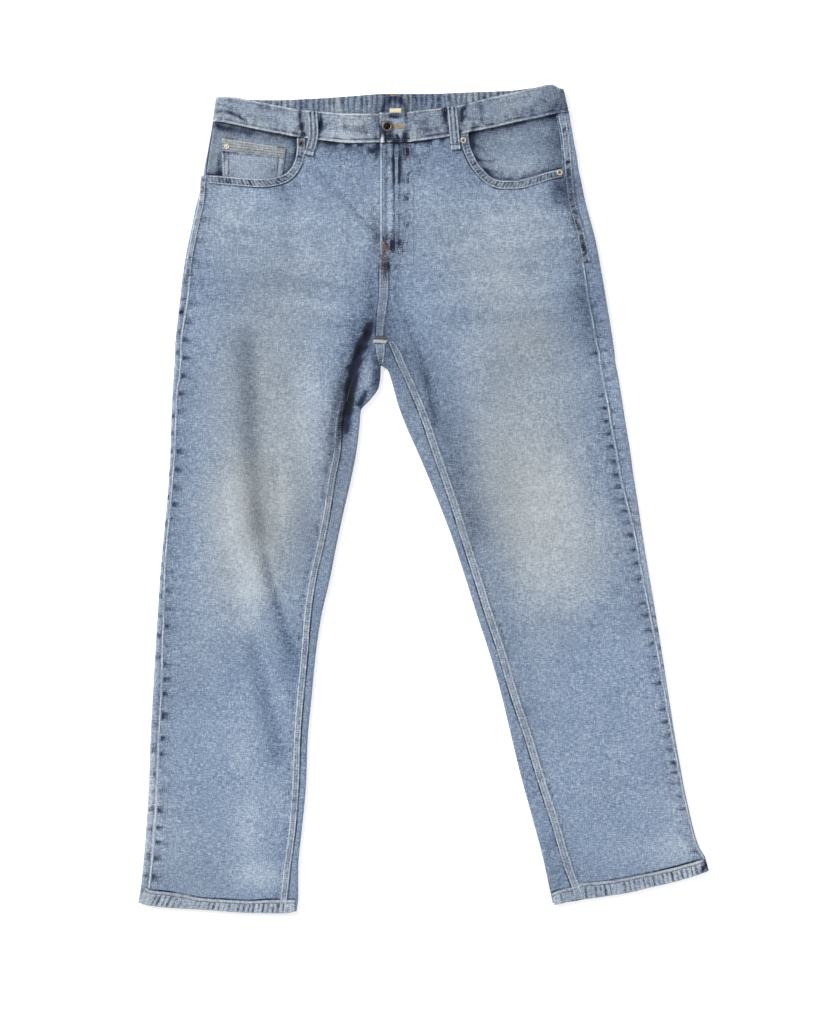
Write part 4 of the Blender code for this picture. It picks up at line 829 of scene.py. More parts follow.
def facing(half, layers, material):
    # a sheet behind the pocket mouth, from the waistband to just under the mouth's edge
    mouth = half.mouth[np.argsort(half.mouth[:, 0])]
    share = np.linspace(0, 1, 46) ** 1.1
    endX = half.mouth[0, 0] + half.inward * 10
    topX = half.seamX(half.top[0, 1]) + half.inward * 0.4
    lowX = half.seamX(half.mouth[-1, 1]) + half.inward * 0.4
    topX, lowX0 = topX + (endX - topX) * share, lowX
    lowX += (endX - lowX) * share
    below = smooth((np.abs(lowX - lowX0) - 12) / 14)
    lowY = np.interp(lowX, mouth[:, 0], mouth[:, 1]) + 0.8 - below * 10
    v = np.linspace(0, 1, 30)[:, None]
    plan = np.stack([topX * (1 - v) + lowX * v, (half.bandLow(topX) + tuck) * (1 - v) + lowY * v], axis=-1)
    x, y = plan[..., 0], plan[..., 1]
    z = facingHeight(half, layers)(x, y) + 0.25 * hills(x, y, 16, 81)
    pale, grey = fadesAndShade(x, y)
    inMouth = fromLine(smoothLine(half.mouth, 2), x, y)[0] * half.inward
    blot = hills(x, y, 9, 82)
    # painted shade inside the pocket mouth and under the waistband
    dark = 1.15 * bell(inMouth, 5.5) * (0.75 + 0.4 * blot) + 0.85 * bell(y - half.bandLow(x), 9) * (0.8 + 0.5 * blot)
    dark += 0.35 * bell(half.fromEdges(x, y)[0] - 22, 8) * smooth(0.5 + blot) + foldHeight(x, y, facingCreaseShade)
    pale = pale + 0.22 * bell(half.fromEdges(x, y)[0] - 4, 5) + 0.12 * blot
    if half.name == "left":
        pale = pale + 0.4 * np.exp(-((x - 118) / 34) ** 2 - ((y - 424) / 18) ** 2) - 0.45 * bell(x - 168, 14)
        dark += 0.5 * bell(x - 60, 14) * bell(y - 458, 18)
    return shell("facing_" + half.name + "_cloth", xyz(plan, z), washAndShadeOf(pale - 0.16, dark, grey + 0.3), material)


def turned(distance, width, lift):
    # a turned edge: rises within 1.2 mm, stands lift proud for its width and runs out over 2 mm
    return lift * rim(np.clip(distance / 1.2, 0, 1)) * (1 - smooth((distance - width) / 2))


coin = dict(topIn=(-174.5, 445.5), topOut=(-256.5, 458), lowOut=(-255, 403), lowIn=(-180, 403))


def coinPocket(material):
    # a patch on the facing: turned top hem, side edges pressed down
    corner = {key: np.array(value, float) for key, value in coin.items()}
    u = np.linspace(0, 1, 60)[None, :, None]
    v = np.linspace(0, 1, 44)[:, None, None]
    top = corner["topOut"] * (1 - u) + corner["topIn"] * u
    low = corner["lowOut"] * (1 - u) + corner["lowIn"] * u
    plan = top * (1 - v) + low * v
    x, y = plan[..., 0], plan[..., 1]
    down, side = v[..., 0] * 46, np.minimum(u, 1 - u)[..., 0] * 80
    pucker = hills(x, y * 0.5, 6, 83)
    z = facingHeight(right, 1)(x, y) + 0.45 * turned(down, 12, 1) - 0.5 * (1 - rim(side / 1.4)) + 0.12 * pucker
    z -= 0.3 * bell(side - 7.4, 1) + 0.35 * bell(down - 13.5, 1)
    pale, grey = fadesAndShade(x, y)
    hem = 1 - smooth((down - 12) / 2)
    # four tight stitch rows in the top hem, two along each side, dark spots between the side rows
    rowsAt = sum(bell(down - place, 0.55) for place in (2.6, 5.6, 8.6, 11.4))
    speck = smooth(np.sin(x * 2.6) * 0.8 + hills(x, y, 2, 85) + 0.5)
    sideRows = 0.85 * bell(side - 2, 0.9) + 0.85 * bell(side - 8.2, 1)
    dark = hem * 0.95 * rowsAt * (0.45 + 0.55 * speck) + (1 - hem) * sideRows * (0.6 + 0.5 * speck)
    # dark puckers between the side rows, and painted shadow under the lower edge of the top hem
    dark += ((1 - hem) * bell(side - 5, 2.6) * 0.8 * smooth(pucker * 1.8 + 0.1)
             + 0.95 * bell(down - 14.6, 1.3) * (0.6 + 0.4 * pucker))
    dark += 0.35 * (1 - hem) * bell(side - 12, 4) * smooth(pucker + 0.4)
    sides = 0.1 + 0.55 * bell(side - 0.7, 0.8) + 0.25 * bell(side - 5, 2.4)
    pale = pale + 0.24 * hem + (1 - hem) * sides + 0.3 * bell(down - 0.6, 0.8)
    return shell("coin_pocket_cloth", xyz(plan, z), washAndShadeOf(pale, dark, grey + 0.3 + 0.9 * hem), material)


def bandHeight(half, x, y):
    # the top layer's level plus the band's lift; the underlap sinks and the overlap rises
    z = levels(y)[1] + band["lift"]
    if half.name == "right":
        return z - band["underDrop"] * run(x, *band["underRun"])
    return z + band["lapLift"] * run(x, *band["lapRun"])


def bandControls():
    # outer and inner points of the band's lower and upper edge, from the underlap round the back to the overlap
    thick = cloth["band"]
    sets = []

    def level(row, outerZ, innerZ):
        sets.append([(row[2], row[3], outerZ), (row[0], row[1], outerZ),
                     (row[2], row[3], innerZ), (row[0], row[1], innerZ)])

    def corner(half, row, angles):
        under, high = levels(row[3])
        high += band["lift"]
        radius, centre = (high - under) / 2, (high + under) / 2
        for angle in np.radians(angles):
            points = []
            for r in (radius, radius - thick):
                shift = half.inward * (radius - r * math.cos(angle))
                points += [(row[2] + shift, row[3], centre + r * math.sin(angle)),
                           (row[0] + shift, row[1], centre + r * math.sin(angle))]
            sets.append(points)

    for row in bandRight[:-1]:
        z = float(bandHeight(right, row[2], row[3]))
        level(row, z, z - thick)
    angles = [90, 60, 30, 0, -30, -60, -90]
    corner(right, bandRight[-1], angles)
    for row in bandBack[1:-1]:
        under = float(levels(row[3])[0])
        level(row, under, under + thick)
    corner(left, bandLeft[0], angles[::-1])
    for row in bandLeft[1:]:
        z = float(bandHeight(left, row[2], row[3]))
        level(row, z, z - thick)
    return np.array(sets, float)


def capEnds(thing, rings):
    # closes open ends of a tube with one flat face each
    mesh = thing.data
    work = bmesh.new()
    work.from_mesh(mesh)
    work.verts.ensure_lookup_table()
    for ring in rings:
        work.faces.new([work.verts[int(k)] for k in ring]).smooth = False
    bmesh.ops.recalc_face_normals(work, faces=work.faces)
    work.to_mesh(mesh)
    work.free()


def strapMesh(name, point, washes, material):
    # a tube through the sections of a strap, closed at both ends
    n, m = point.shape[:2]
    index = np.arange(n * m).reshape(n, m)
    after = np.roll(index, -1, axis=1)
    faces = np.stack([index[:-1], after[:-1], after[1:], index[1:]], axis=-1).reshape(-1, 4)
    thing = addMesh(name, point.reshape(-1, 3), faces, material, washes)
    capEnds(thing, [index[0], index[-1]])
    return thing


# creases of the band's front, as in creaseShadeRows: they sink the band and are painted with shade
bandCreases = np.array([
    (-268, 488, -252, 498, -222, 477, 1.1, 3, 2.4), (-264, 500, -252, 500, -236, 494, 0.5, 1.4, 1.8),
    (-232, 488, -214, 486, -196, 476, 0.35, 2.4, 3), (-214, 500, -196, 494, -172, 492, 0.4, 2, 3),
    (-118, 470, -96, 474, -70, 470, 0.4, 2, 4), (-106, 484, -98, 474, -100, 462, 0.35, 3, 3),
    (-74, 486, -78, 476, -72, 462, 0.4, 3, 3), (-12, 488, -14, 476, -20, 460, 0.4, 3, 3),
    (74, 500, 78, 488, 74, 474, 0.35, 3, 4), (92, 506, 112, 502, 134, 512, 0.35, 2, 3),
    (96, 484, 120, 490, 150, 494, 0.3, 2, 3), (-262, 506, -246, 506, -226, 500, 0.3, 1.2, 1.8),
    (-155, 490, -153, 478, -154, 466, 0.9, 3.6, 3.6), (-131, 490, -130, 480, -134, 470, 0.85, 3.4, 2.6),
    (-132, 478, -118, 474, -104, 478, 0.4, 1.5, 3), (-112, 484, -92, 480, -78, 484, 0.25, 1.6, 3),
    (-100, 466, -84, 470, -70, 464, 0.25, 1.6, 3), (-53, 488, -52, 474, -54, 456, 0.75, 2.2, 2.2),
    (-44, 486, -36, 482, -28, 484, 0.6, 2.2, 2.6), (-50, 462, -40, 458, -30, 462, 0.7, 2, 2.4),
    (-36, 463, -32, 459, -30, 455, 0.6, 1.5, 1.8), (-28, 466, -25, 460, -22, 455, 0.55, 1.4, 1.8),
    (-20, 484, -12, 476, 4, 480, 0.35, 1.5, 3), (-10, 470, 6, 466, 20, 472, 0.35, 1.5, 3),
    (28, 492, 29, 478, 32, 466, 0.9, 2.6, 2.6), (47, 498, 48, 484, 49, 470, 0.8, 2.6, 2.6),
    (52, 486, 62, 478, 76, 484, 0.5, 1.5, 2.6), (56, 474, 70, 478, 84, 476, 0.45, 1.5, 2.6),
    (54, 496, 70, 494, 86, 500, 0.3, 1.4, 2.4), (100, 498, 118, 490, 140, 500, 0.22, 2, 3.4),
    (150, 508, 160, 498, 176, 502, 0.3, 2, 3)], float)


# painted shadow beside the belt loops, round the button and at the folded ends: x, half width, how dark
bandShadows = [(-154, 7, 1), (-129, 6, 0.8), (-262, 16, 0.35), (-58, 7, 0.45), (-30, 14, 0.45), (0, 10, 0.3),
             (28, 6, 0.9), (50, 8, 0.9), (64, 12, 0.45), (172, 8, 0.4), (-40, 11, 0.55)]


def waistband(material):
    # a rounded strip: its cross section is a long rounded box, carried round the waist
    controls = bandControls()
    length = np.linalg.norm(np.diff(controls[:, 0], axis=0), axis=1)
    place = np.concatenate([[0], np.cumsum(np.maximum(length, 0.5))])
    lapStart = place[-1] - band["lapFine"]
    fine = np.concatenate([np.linspace(0, lapStart, band["sections"]),
                           np.linspace(lapStart, place[-1], band["lapSections"])[1:]])
    low, top, lowIn = np.moveaxis(spline(fine, place, controls), 1, 0)[:3]
    tall = np.linalg.norm(top - low, axis=1)[:, None]
    up, out = unit(top - low), unit(low - lowIn)
    r = cloth["band"] / 2
    arc = np.radians(np.linspace(75, -75, 5))
    a = np.concatenate([r + (tall - 2 * r) * np.linspace(0, 1, 20), tall - r + r * np.cos(arc),
                        r + (tall - 2 * r) * np.linspace(1, 0, 12), r - r * np.cos(arc) + 0 * tall], axis=1)
    b = np.concatenate([np.full(20, r), r * np.sin(arc), np.full(12, -r), -r * np.sin(arc)])[None] + 0 * tall
    s = fine[:, None] + 0 * a
    outside = smooth(b / r)
    onFront = smooth((out[:, 2:3] - 0.2) * 3)
    pucker = hills(s, a * 0.25, 6.5, 91) + 0.5 * hills(s, a * 0.3, 3.5, 92)
    wide = hills(s, a * 0.6, 22, 93)
    ridge = bell(a - 1.3, 1.1)
    lapEnd = place[-1] - s
    plan = low[:, None] + up[:, None] * a[..., None]
    b += outside * (0.4 * ridge - 0.5 * bell(a - 4.6, 0.8) - 0.35 * bell(tall - a - 3.2, 0.8) + 0.34 * wide
                    + 0.22 * pucker * (0.4 + bell(a - 7, 5) + bell(tall - a - 5, 4)) + 0.9 * bell(lapEnd - 4, 4)
                    - 0.6 * bell(lapEnd - 8.5, 1.6))
    sunk = np.clip(foldHeight(plan[..., 0], plan[..., 1], bandCreases), 0, 1)
    b = b - (1 - outside) * 0.3 * pucker - outside * onFront * 0.9 * sunk
    point = plan + out[:, None] * (b - r)[..., None]
    px = point[..., 0]
    slant = hills(s + a * 0.9, a * 0.5, 9, 94)
    py = point[..., 1]
    pale, grey = 0.02 + 0.24 * wide + 0.12 * slant + 0.62 * ridge * outside, 0.34 + 0.2 * wide
    # painted shade darkens the front from x = 60 and most from x = 140, where the band turns round the side; paler
    # round x = -100
    pale = pale - (0.18 * run(px, 60, 100) + 0.5 * run(px, 140, 176)) * onFront + 0.3 * bell(px + 100, 30) * onFront
    # painted highlight on the overlap's rounded end
    pale = pale + outside * (bell(lapEnd - 2.2, 1.9) - 0.1 * (1 - onFront)) - 0.12 * bell(px - 74, 14) * onFront
    pale += outside * 0.6 * bell(tall - a - 1.1, 1.3)
    # dark stitch groove, and painted shade under the band's lower edge
    dark = 0.9 * bell(a - 4.9, 1) * smooth(0.75 + pucker) + 0.8 * bell(a + 0.3, 1)
    dark += 0.6 * bell(tall - a - 3.6, 0.9) * smooth(0.4 + pucker) * outside
    dark += onFront * (0.3 * smooth(pucker * 1.2 - 0.05) * (0.25 + bell(a - 9, 6))
                       + 0.22 * smooth(slant * 1.6 - 0.1))
    # painted shade along the band's creases
    dark += onFront * np.maximum(foldHeight(px, py, bandCreases), 0) * (0.85 + 0.3 * pucker)
    for centre, half, amount in bandShadows:
        dark += onFront * amount * bell(px - centre, half) * smooth(0.45 + 0.8 * slant + 0.5 * pucker)
    # the inner face: painted shade in stripes across its gathers
    gathers = np.cos((s + 2.4 * pucker + 1.5 * wide) * 2 * math.pi / 7.6)
    dark += (1 - outside) * (0.14 + 0.5 * smooth(gathers * 1.2 + 0.3 * wide) * (0.45 + bell(tall - a - 6, 8)))
    # painted shade beside the overlap's end and along its edge
    dark += outside * (1.05 * bell(lapEnd - 6.6, 2) * smooth(0.9 + slant) + 0.7 * bell(lapEnd - 0.2, 0.9))
    # painted shadow of the overlap's end on the underlap
    dark += onFront * (s < place[-1] / 2) * 0.35 * bell(px + 54.5, 2)
    # painted shade on the lap's end above, below and beyond the button
    lap = onFront * (s > place[-1] / 2)
    tabShade = bell(px + 36, 12) * lap
    dark += tabShade * (0.95 * run(py, 480, 485) + 0.6 * (1 - run(py, 464, 472)) * smooth(0.7 + pucker))
    dark += lap * 0.7 * bell(px + 23.5, 3.2) * smooth(0.8 + slant)
    # painted shade in an arch round the label on the inner face, and painted light on the gathers
    dark += (1 - outside) * (0.6 * bell(np.hypot(px + 37, (py - 491) * 0.8) - 15, 4) + 0.3 * bell(px + 37, 34))
    pale += (1 - outside) * (0.3 * smooth(-gathers * 1.2) - 0.26)
    return strapMesh("waistband_cloth", point, washAndShadeOf(pale, dark, grey), material)


def rodParts(centre, across, wide, thick, up, rounding=0.5):
    # a flat strap: its section is a rounded box, carried along the centre line; centre is the strap's underside
    r = thick * rounding
    arc = np.radians([0, 45, 90])
    half = wide / 2
    side = np.concatenate([half - r + r * np.cos(arc), np.linspace(half - r, r - half, 11)[1:-1],
                           r - half - r * np.cos(arc[::-1])])
    lift = np.concatenate([thick - r + r * np.sin(arc), np.full(9, thick), thick - r + r * np.sin(arc[::-1])])
    side = np.concatenate([side, [-half, -half + r, half - r, half]])
    lift = np.concatenate([lift, [r * 0.3, 0, 0, r * 0.3]])
    point = centre[:, None] + across[:, None] * side[None, :, None] + up[:, None] * lift[None, :, None]
    return point, side, lift


loops = dict(width=12.4, pastBand=1.5, bow=1.3, thick=1.9, backThick=1.55, backTop=1.6)
# name, then x y at the top, in the middle and at the lower end
frontLoops = [("loop_front_right", -141, 491, -139.5, 464, -146, 436), ("loop_front_left", 36, 497, 38.5, 470, 41, 443)]
backLoops = [("loop_back_right", -188, 504, -187, 448), ("loop_back_centre", -38, 512, -38, 456),
             ("loop_back_left", 112, 516, 112, 460)]


def frontLoop(half, name, topX, topY, middleX, middleY, lowX, lowY, material):
    # over the band with a bow, then down to its knobbly end on the panel; the top is tucked over the edge
    plan = smoothLine([(topX, topY), (middleX, middleY), (lowX, lowY)], 1.1)
    s = lineLengths(plan)
    bandEnd = topY - float(half.bandLow(lowX)) + loops["pastBand"]
    onBand = bandHeight(half, *plan.T) + loops["bow"] * np.sin(np.clip(s / bandEnd, 0, 1) * math.pi)
    onPanel = half.height(*plan.T) + 0.75
    z = onBand + (onPanel - onBand) * run(s, bandEnd - 1, bandEnd + 7) + 0.3
    z = z - 1.2 * bell(s, 2.2) - 0.9 * bell(s - s[-1] + 6.5, 1.6) + 0.3 * bell(s - s[-1] + 2.6, 2)
    centre = xyz(plan, z)
    way = unit(np.gradient(plan, axis=0))
    across = np.stack([-way[:, 1], way[:, 0], 0 * s], axis=1)
    up = unit(np.cross(np.gradient(centre, axis=0), across))
    up = up * np.sign(up[:, 2:3])
    point, side, lift = rodParts(centre, across, loops["width"], loops["thick"], up)
    groove = 0.45 * bell(np.abs(side) - 2.8, 0.9) * (lift > 1)
    point -= up[:, None] * groove[None, :, None]
    pucker = hills(s[:, None], side[None] * 0.4, 4, 95)
    tack = bell(s - s[-1] + 2.6, 1.8)[:, None]
    # dark stitch rows, and painted shade on the loop's low sides and underside
    dark = 1.1 * bell(np.abs(side) - 2.8, 1.1)[None] * smooth(0.9 + pucker) * (1 - tack) + 1.1 * (lift < 1.2)[None]
    # painted shade in the dip before the knob and where the loop bends over the band's edge
    dark = dark + 0.9 * bell(s - s[-1] + 6.2, 1.3)[:, None] + 0.35 * tack * smooth(pucker * 2)
    dark += 0.5 * bell(s - 3, 1.5)[:, None]
    pale = -0.16 + 0.72 * bell(np.abs(side) - 4.9, 0.9) + 0.4 * bell(side, 1.3) + 0.16 * pucker + 0.36 * tack
    return strapMesh(name + "_cloth", point, washAndShadeOf(pale, dark, 0.4), material)


def backLoop(name, topX, topY, lowX, lowY, material):
    # the garment rests on it: a flat strap from the floor up
    top, low = np.array([topX, topY], float), np.array([lowX, lowY], float)
    plan = top + (low - top) * np.linspace(0, 1, 30)[:, None]
    centre = xyz(plan, loops["backTop"])
    way = unit(low - top)
    across = np.repeat(np.array([[-way[1], way[0], 0]]), 30, 0)
    up = np.repeat(np.array([[0, 0, -1]]), 30, 0)
    point, side, _ = rodParts(centre, across, loops["width"], loops["backThick"], up)
    dark = 0.65 * bell(np.abs(side) - 2.9, 0.9)[None] + 0 * point[..., 0]
    pale = 0.25 + 0.35 * bell(np.abs(side) - 4.6, 1.2)[None]
    return strapMesh(name + "_cloth", point, washAndShadeOf(pale, dark, 0.3), material)


backPockets = dict(topWidth=146, lowWidth=132, side=132, point=22)
backPocketPlaces = dict(right=(-163, 394, -6), left=(80, 398, 6))


def backPocket(side, material):
    # five-sided patch under the back panel: turned top hem, pressed edges, a shallow pucker at the stitching
    centreX, centreY, tilt = backPocketPlaces[side]
    size = backPockets
    u, v = np.linspace(-0.5, 0.5, 62)[None], np.linspace(0, 1, 62)[:, None]
    width = size["topWidth"] * (1 - v) + size["lowWidth"] * v
    a = u * width
    b = -v * (size["side"] + size["point"] * (1 - 2 * np.abs(u)))
    turn = math.radians(tilt)
    plan = np.stack([centreX + a * math.cos(turn) - b * math.sin(turn),
                     centreY + a * math.sin(turn) + b * math.cos(turn)], axis=-1)
    edge = np.minimum(width / 2 - np.abs(a), size["side"] + size["point"] * (1 - 2 * np.abs(u)) + b)
    down = -b
    edge = np.minimum(edge, down + 30)
    pucker = hills(a, b, 7, 97)
    z = 0.1 + 0.35 * bell(edge - 9.5, 1.2) + 0.3 * bell(down - 17, 1.2)
    z = z + 0.5 * (1 - rim(edge / 1.5)) + 0.12 * (pucker + 1)
    pale, grey = fadesAndShade(plan[..., 0], plan[..., 1])
    pale = pale * 0.5 + 0.12 + 0.3 * bell(edge - 1, 1.4) + 0.2 * bell(down - 2, 2)
    dark = 0.6 * bell(edge - 9.8, 1.1) + 0.6 * bell(down - 17.6, 1.2) + 0.4 * smooth(pucker * 1.6) * bell(edge - 5, 4)
    return shell("pocket_back_" + side + "_cloth", xyz(plan, z), washAndShadeOf(pale, dark, grey), material, up=-1)


def latheParts(x, y, z, profile, sides):
    # points of a profile turned round the vertical through x, y; the first and last lie on the axis
    angle = np.linspace(0, 2 * math.pi, sides, endpoint=False)
    radius, rise = np.array(profile)[1:-1, 0], np.array(profile)[1:-1, 1]
    ring = np.stack([x + radius[:, None] * np.cos(angle), y + radius[:, None] * np.sin(angle),
                     z + rise[:, None] + 0 * angle], axis=-1).reshape(-1, 3)
    points = np.concatenate([[[x, y, z + profile[0][1]]], ring, [[x, y, z + profile[-1][1]]]])
    faces = []
    rings = len(radius)
    last = 1 + (rings - 1) * sides
    for s in range(sides):
        n = (s + 1) % sides
        faces.append([0, 1 + n, 1 + s])
        faces.append([last + s, last + n, len(points) - 1])
        faces += [[1 + k * sides + s, 1 + k * sides + n, 1 + (k + 1) * sides + n, 1 + (k + 1) * sides + s]
                  for k in range(rings - 1)]
    return points, faces


button = dict(x=-46, y=472, radius=7.2, height=3.4, hole=0.5)


def waistButton(material, darkMaterial):
    # jeans button: a rounded collar turned round a dark dished centre with a small dome
    x, y, radius, height, hole = (button[key] for key in ("x", "y", "radius", "height", "hole"))
    z = float(bandHeight(left, x, y)) + 0.2
    collar = [(radius * (0.76 + 0.22 * math.cos(a)), height * (0.7 + 0.28 * math.sin(a)))
              for a in np.radians(np.linspace(-70, 215, 16))]
    profile = [(0, 0), (radius * 0.7, 0), (radius * 0.84, height * 0.2), *collar,
               (radius * hole, height * 0.35), (0, height * 0.35)]
    ringPiece = addMesh("waist_button_metal", *latheParts(x, y, z, profile, 48), material)
    dish = [(radius * hole * t, height * (0.42 + 0.16 * math.cos(t * math.pi * 0.5))) for t in np.linspace(0.15, 1, 8)]
    profile = [(0, height * 0.36), (radius * hole, height * 0.36)] + dish[::-1] + [(0, height * 0.58)]
    return ringPiece, addMesh("waist_button_centre", *latheParts(x, y, z, profile, 32), darkMaterial)


# how far out and how high, as shares of the rivet's radius and height
rivetProfiles = dict(
    collar=[(0, 0), (1, 0), (1.02, 0.2), (0.96, 0.42), (0.84, 0.52), (0.62, 0.42), (0.5, 0.3), (0, 0.3)],
    middle=[(0, 0.3), (0.5, 0.3), (0.44, 0.75), (0.3, 0.95), (0.15, 1), (0, 1)])


def rivet(name, x, y, radius, height, surface, lift, material, middleMaterial):
    # a flat collar with a rounded rim and a low nipple in its middle
    angle = np.linspace(0, 2 * math.pi, 9)
    z = float(np.max(surface(x + radius * 0.7 * np.cos(angle), y + radius * 0.7 * np.sin(angle)))) + lift + 0.1
    collar, middle = (np.array(rivetProfiles[key]) * (radius, height) for key in ("collar", "middle"))
    return [addMesh(name + "_metal", *latheParts(x, y, z, collar, 28), material),
            addMesh(name + "_middle", *latheParts(x, y, z, middle, 20), middleMaterial)]


# line is the strength of the painted shadow line beside the seam
seamLook = dict(proud=0.85, rows=2, rowIn=2.8, tone=0.16, puckers=0.15, blotches=0.25, line=1, ticks=0)


def felledSeam(name, lineA, lineB, height, seed, material, edgeShadows, margins=(2.4, 2.4), columns=17, up=1, **changes):
    # a flat-felled seam between two lines: a raised band with rounded shoulders, a stitch row in a groove near each
    # shoulder and rope-like puckers; its pale shoulders and dark grooves are partly wear and partly painted light and
    # shade;
    # beyond the shoulders it lies on the panel and carries a painted shadow line, on each side as strong as edgeShadows
    # says
    look = dict(seamLook, **changes)
    plan, along, across, width = ribbonPlan(lineA, lineB, 1.5, columns)
    x, y = plan[..., 0], plan[..., 1]
    t, r = across - margins[0], width - margins[1] - across
    inside = smooth(t / 0.9 + 0.3) * smooth(r / 0.9 + 0.3)
    rope = hills(along + across * 0.6, across * 0.25, 3, seed)
    slow = hills(along, across * 0.4, 15, seed + 1)
    blotch = smooth(hills(along, across * 0.35, 6.5, seed + 2) * 2.4 - 0.75)
    middleRow = 0.8 * bell(t - r, 1.2) if look["rows"] > 2 else 0
    rowsAt = bell(t - look["rowIn"], 0.62) + bell(r - look["rowIn"], 0.62) + middleRow
    border = smooth(np.minimum(across, width - across) / 0.9)
    lift = 0.16 * border - 0.3 * (1 - border) + inside * (look["proud"] + 0.16 * rope + 0.12 * slow - 0.42 * rowsAt)
    z = np.maximum(height(x, y) + up * lift, 0.03)
    pale, grey = fadesAndShade(x, y)
    shoulders = bell(t - 0.8, 0.85) + bell(r - 0.8, 0.85)
    # pale shoulders: wear and painted highlight
    pale += inside * (look["tone"] + 0.85 * shoulders * (0.8 + 0.35 * rope) + 0.16 * slow)
    speck = smooth(np.sin(along * 2.03 + 2 * slow) * 1.1 + rope * 0.4 + 0.45)
    dark = inside * (0.85 * rowsAt * speck + look["blotches"] * blotch * (1 - shoulders * 0.6))
    dark += inside * look["puckers"] * smooth(rope * 1.8 + 0.1) * (1 - shoulders)
    ticks = smooth(np.cos((along + 0.8 * slow + across * 0.1) * 2 * math.pi / 4.8) * 1.4 + 0.2)
    dark += inside * look["ticks"] * ticks * (1 - shoulders) * (0.8 + 0.4 * rope)
    # painted shadow beside the raised seam, on each side as edgeShadows says
    outside = bell(t + 0.6, 0.95) * (t < 0.5) * edgeShadows[0] + bell(r + 0.6, 0.95) * (r < 0.5) * edgeShadows[1]
    dark = np.maximum(dark, look["line"] * outside * (0.95 + 0.4 * slow)) + (creaseShade(x, y) if up > 0 else 0)
    piece = shell(name, xyz(plan, z), washAndShadeOf(pale, dark, grey + 0.25 * inside), material, 0.9, up)
    places = [margins[0] + look["rowIn"] + 0 * width, width - margins[1] - look["rowIn"]]
    if look["rows"] > 2:
        places.append((margins[0] + width - margins[1]) / 2)
    lines = [plan[:, 0] + (plan[:, -1] - plan[:, 0]) * place / width for place in places]
    return piece, [(line, height, up * (0.12 + look["proud"] - 0.25)) for line in lines]


def seamCord(name, line, height, seed, material):
    # the edge of a plain seam: a thin pale ridge between two grooves of painted shade, along the middle of a narrow
    # ribbon
    plan, along, across, width = ribbonPlan(besideLine(line, 2.4), besideLine(line, -2.4), 1.9, 13)
    x, y = plan[..., 0], plan[..., 1]
    u = across - width / 2
    border = smooth(np.minimum(across, width - across) / 0.8)
    slow, rope = hills(along, 0 * along, 16, seed), hills(along, across * 0.3, 3.2, seed + 1)
    z = height(x, y) + 0.14 * border - 0.3 * (1 - border) + (0.5 + 0.14 * rope) * bell(u, 0.95)
    pale, grey = fadesAndShade(x, y)
    pale += 0.85 * bell(u, 0.85) * (0.75 + 0.6 * slow)
    # painted shade in the grooves beside the ridge
    dark = 0.5 * bell(np.abs(u) - 1.7, 0.7) * smooth(0.6 + slow)
    return shell(name, xyz(plan, z), washAndShadeOf(pale, dark, grey + 0.3 * bell(u, 1)), material, 0.9)


def stitchParts(line, height, lift, pitch=3.1, length=1.9, radius=0.28, slant=0):
    # one short thread every pitch along a line: a four-sided rod, thin at both ends where it dives into the cloth;
    # a negative lift puts it on an underside
    line = np.asarray(line, float)
    lengths = lineLengths(line)
    count = max(int(lengths[-1] / pitch), 1)
    at = (np.arange(count) + 0.5) * lengths[-1] / count
    jitter = np.random.default_rng(int(abs(line[0].sum() * 10)) % 9999)
    at += jitter.uniform(-0.12, 0.12, count) * pitch
    plan, ahead, behind = (pointsAlong(line, lengths, at + shift) for shift in (0, 1, -1))
    point = xyz(plan, height(*plan.T) + lift)
    way = unit(xyz(ahead, height(*ahead.T)) - xyz(behind, height(*behind.T)))
    side = unit(np.stack([-way[:, 1], way[:, 0], 0 * way[:, 0]], axis=1))
    beside = plan + side[:, :2]
    tilt = height(*beside.T) - height(*plan.T)
    side = unit(side + np.stack([0 * tilt, 0 * tilt, tilt], axis=1))
    up = np.cross(way, side) * (1 if lift >= 0 else -1)
    turn = jitter.uniform(-0.1, 0.1, count) + slant
    way, side = (way * np.cos(turn)[:, None] + side * np.sin(turn)[:, None],
                 side * np.cos(turn)[:, None] - way * np.sin(turn)[:, None])
    # four rings of four corners: half along, how wide, how high
    rings = np.array([(-0.5, 0.45, -0.7), (-0.26, 1, 0), (0.26, 1, 0), (0.5, 0.45, -0.7)])
    corners = np.array([(1, 0), (0, 1), (-1, 0), (0, -1)])
    a = np.repeat(rings[:, 0], 4) * length
    b = np.repeat(rings[:, 1], 4) * np.tile(corners[:, 0], 4) * radius
    c = (np.repeat(rings[:, 1], 4) * np.tile(corners[:, 1], 4) + np.repeat(rings[:, 2], 4)) * radius
    points = (point[:, None] + way[:, None] * a[None, :, None] + side[:, None] * b[None, :, None]
              + up[:, None] * c[None, :, None])
    faces = [(0, 3, 2, 1), (12, 13, 14, 15)]
    faces += [(k + j, k + (j + 1) % 4, k + 4 + (j + 1) % 4, k + 4 + j) for k in (0, 4, 8) for j in range(4)]
    faces = np.array(faces)[None] + 16 * np.arange(count)[:, None, None]
    return points.reshape(-1, 3), faces.reshape(-1, 4)


def barTack(centre, way, length, width, height, lift, radius=0.28, pitch=0.75):
    # dense threads side by side across a short line
    centre, way = np.array(centre, float), np.array(way, float) / math.hypot(*way)
    line = np.stack([centre - way * length / 2, centre, centre + way * length / 2])
    return stitchParts(line, height, lift, pitch, width, radius, math.pi / 2 - 0.25)


def joined(name, parts, material):
    # many small closed bodies as one mesh
    points, faces, start = [], [], 0
    for vertices, quads in parts:
        points.append(vertices)
        faces.append(quads + start)
        start += len(vertices)
    return addMesh(name, np.concatenate(points), np.concatenate(faces), material)


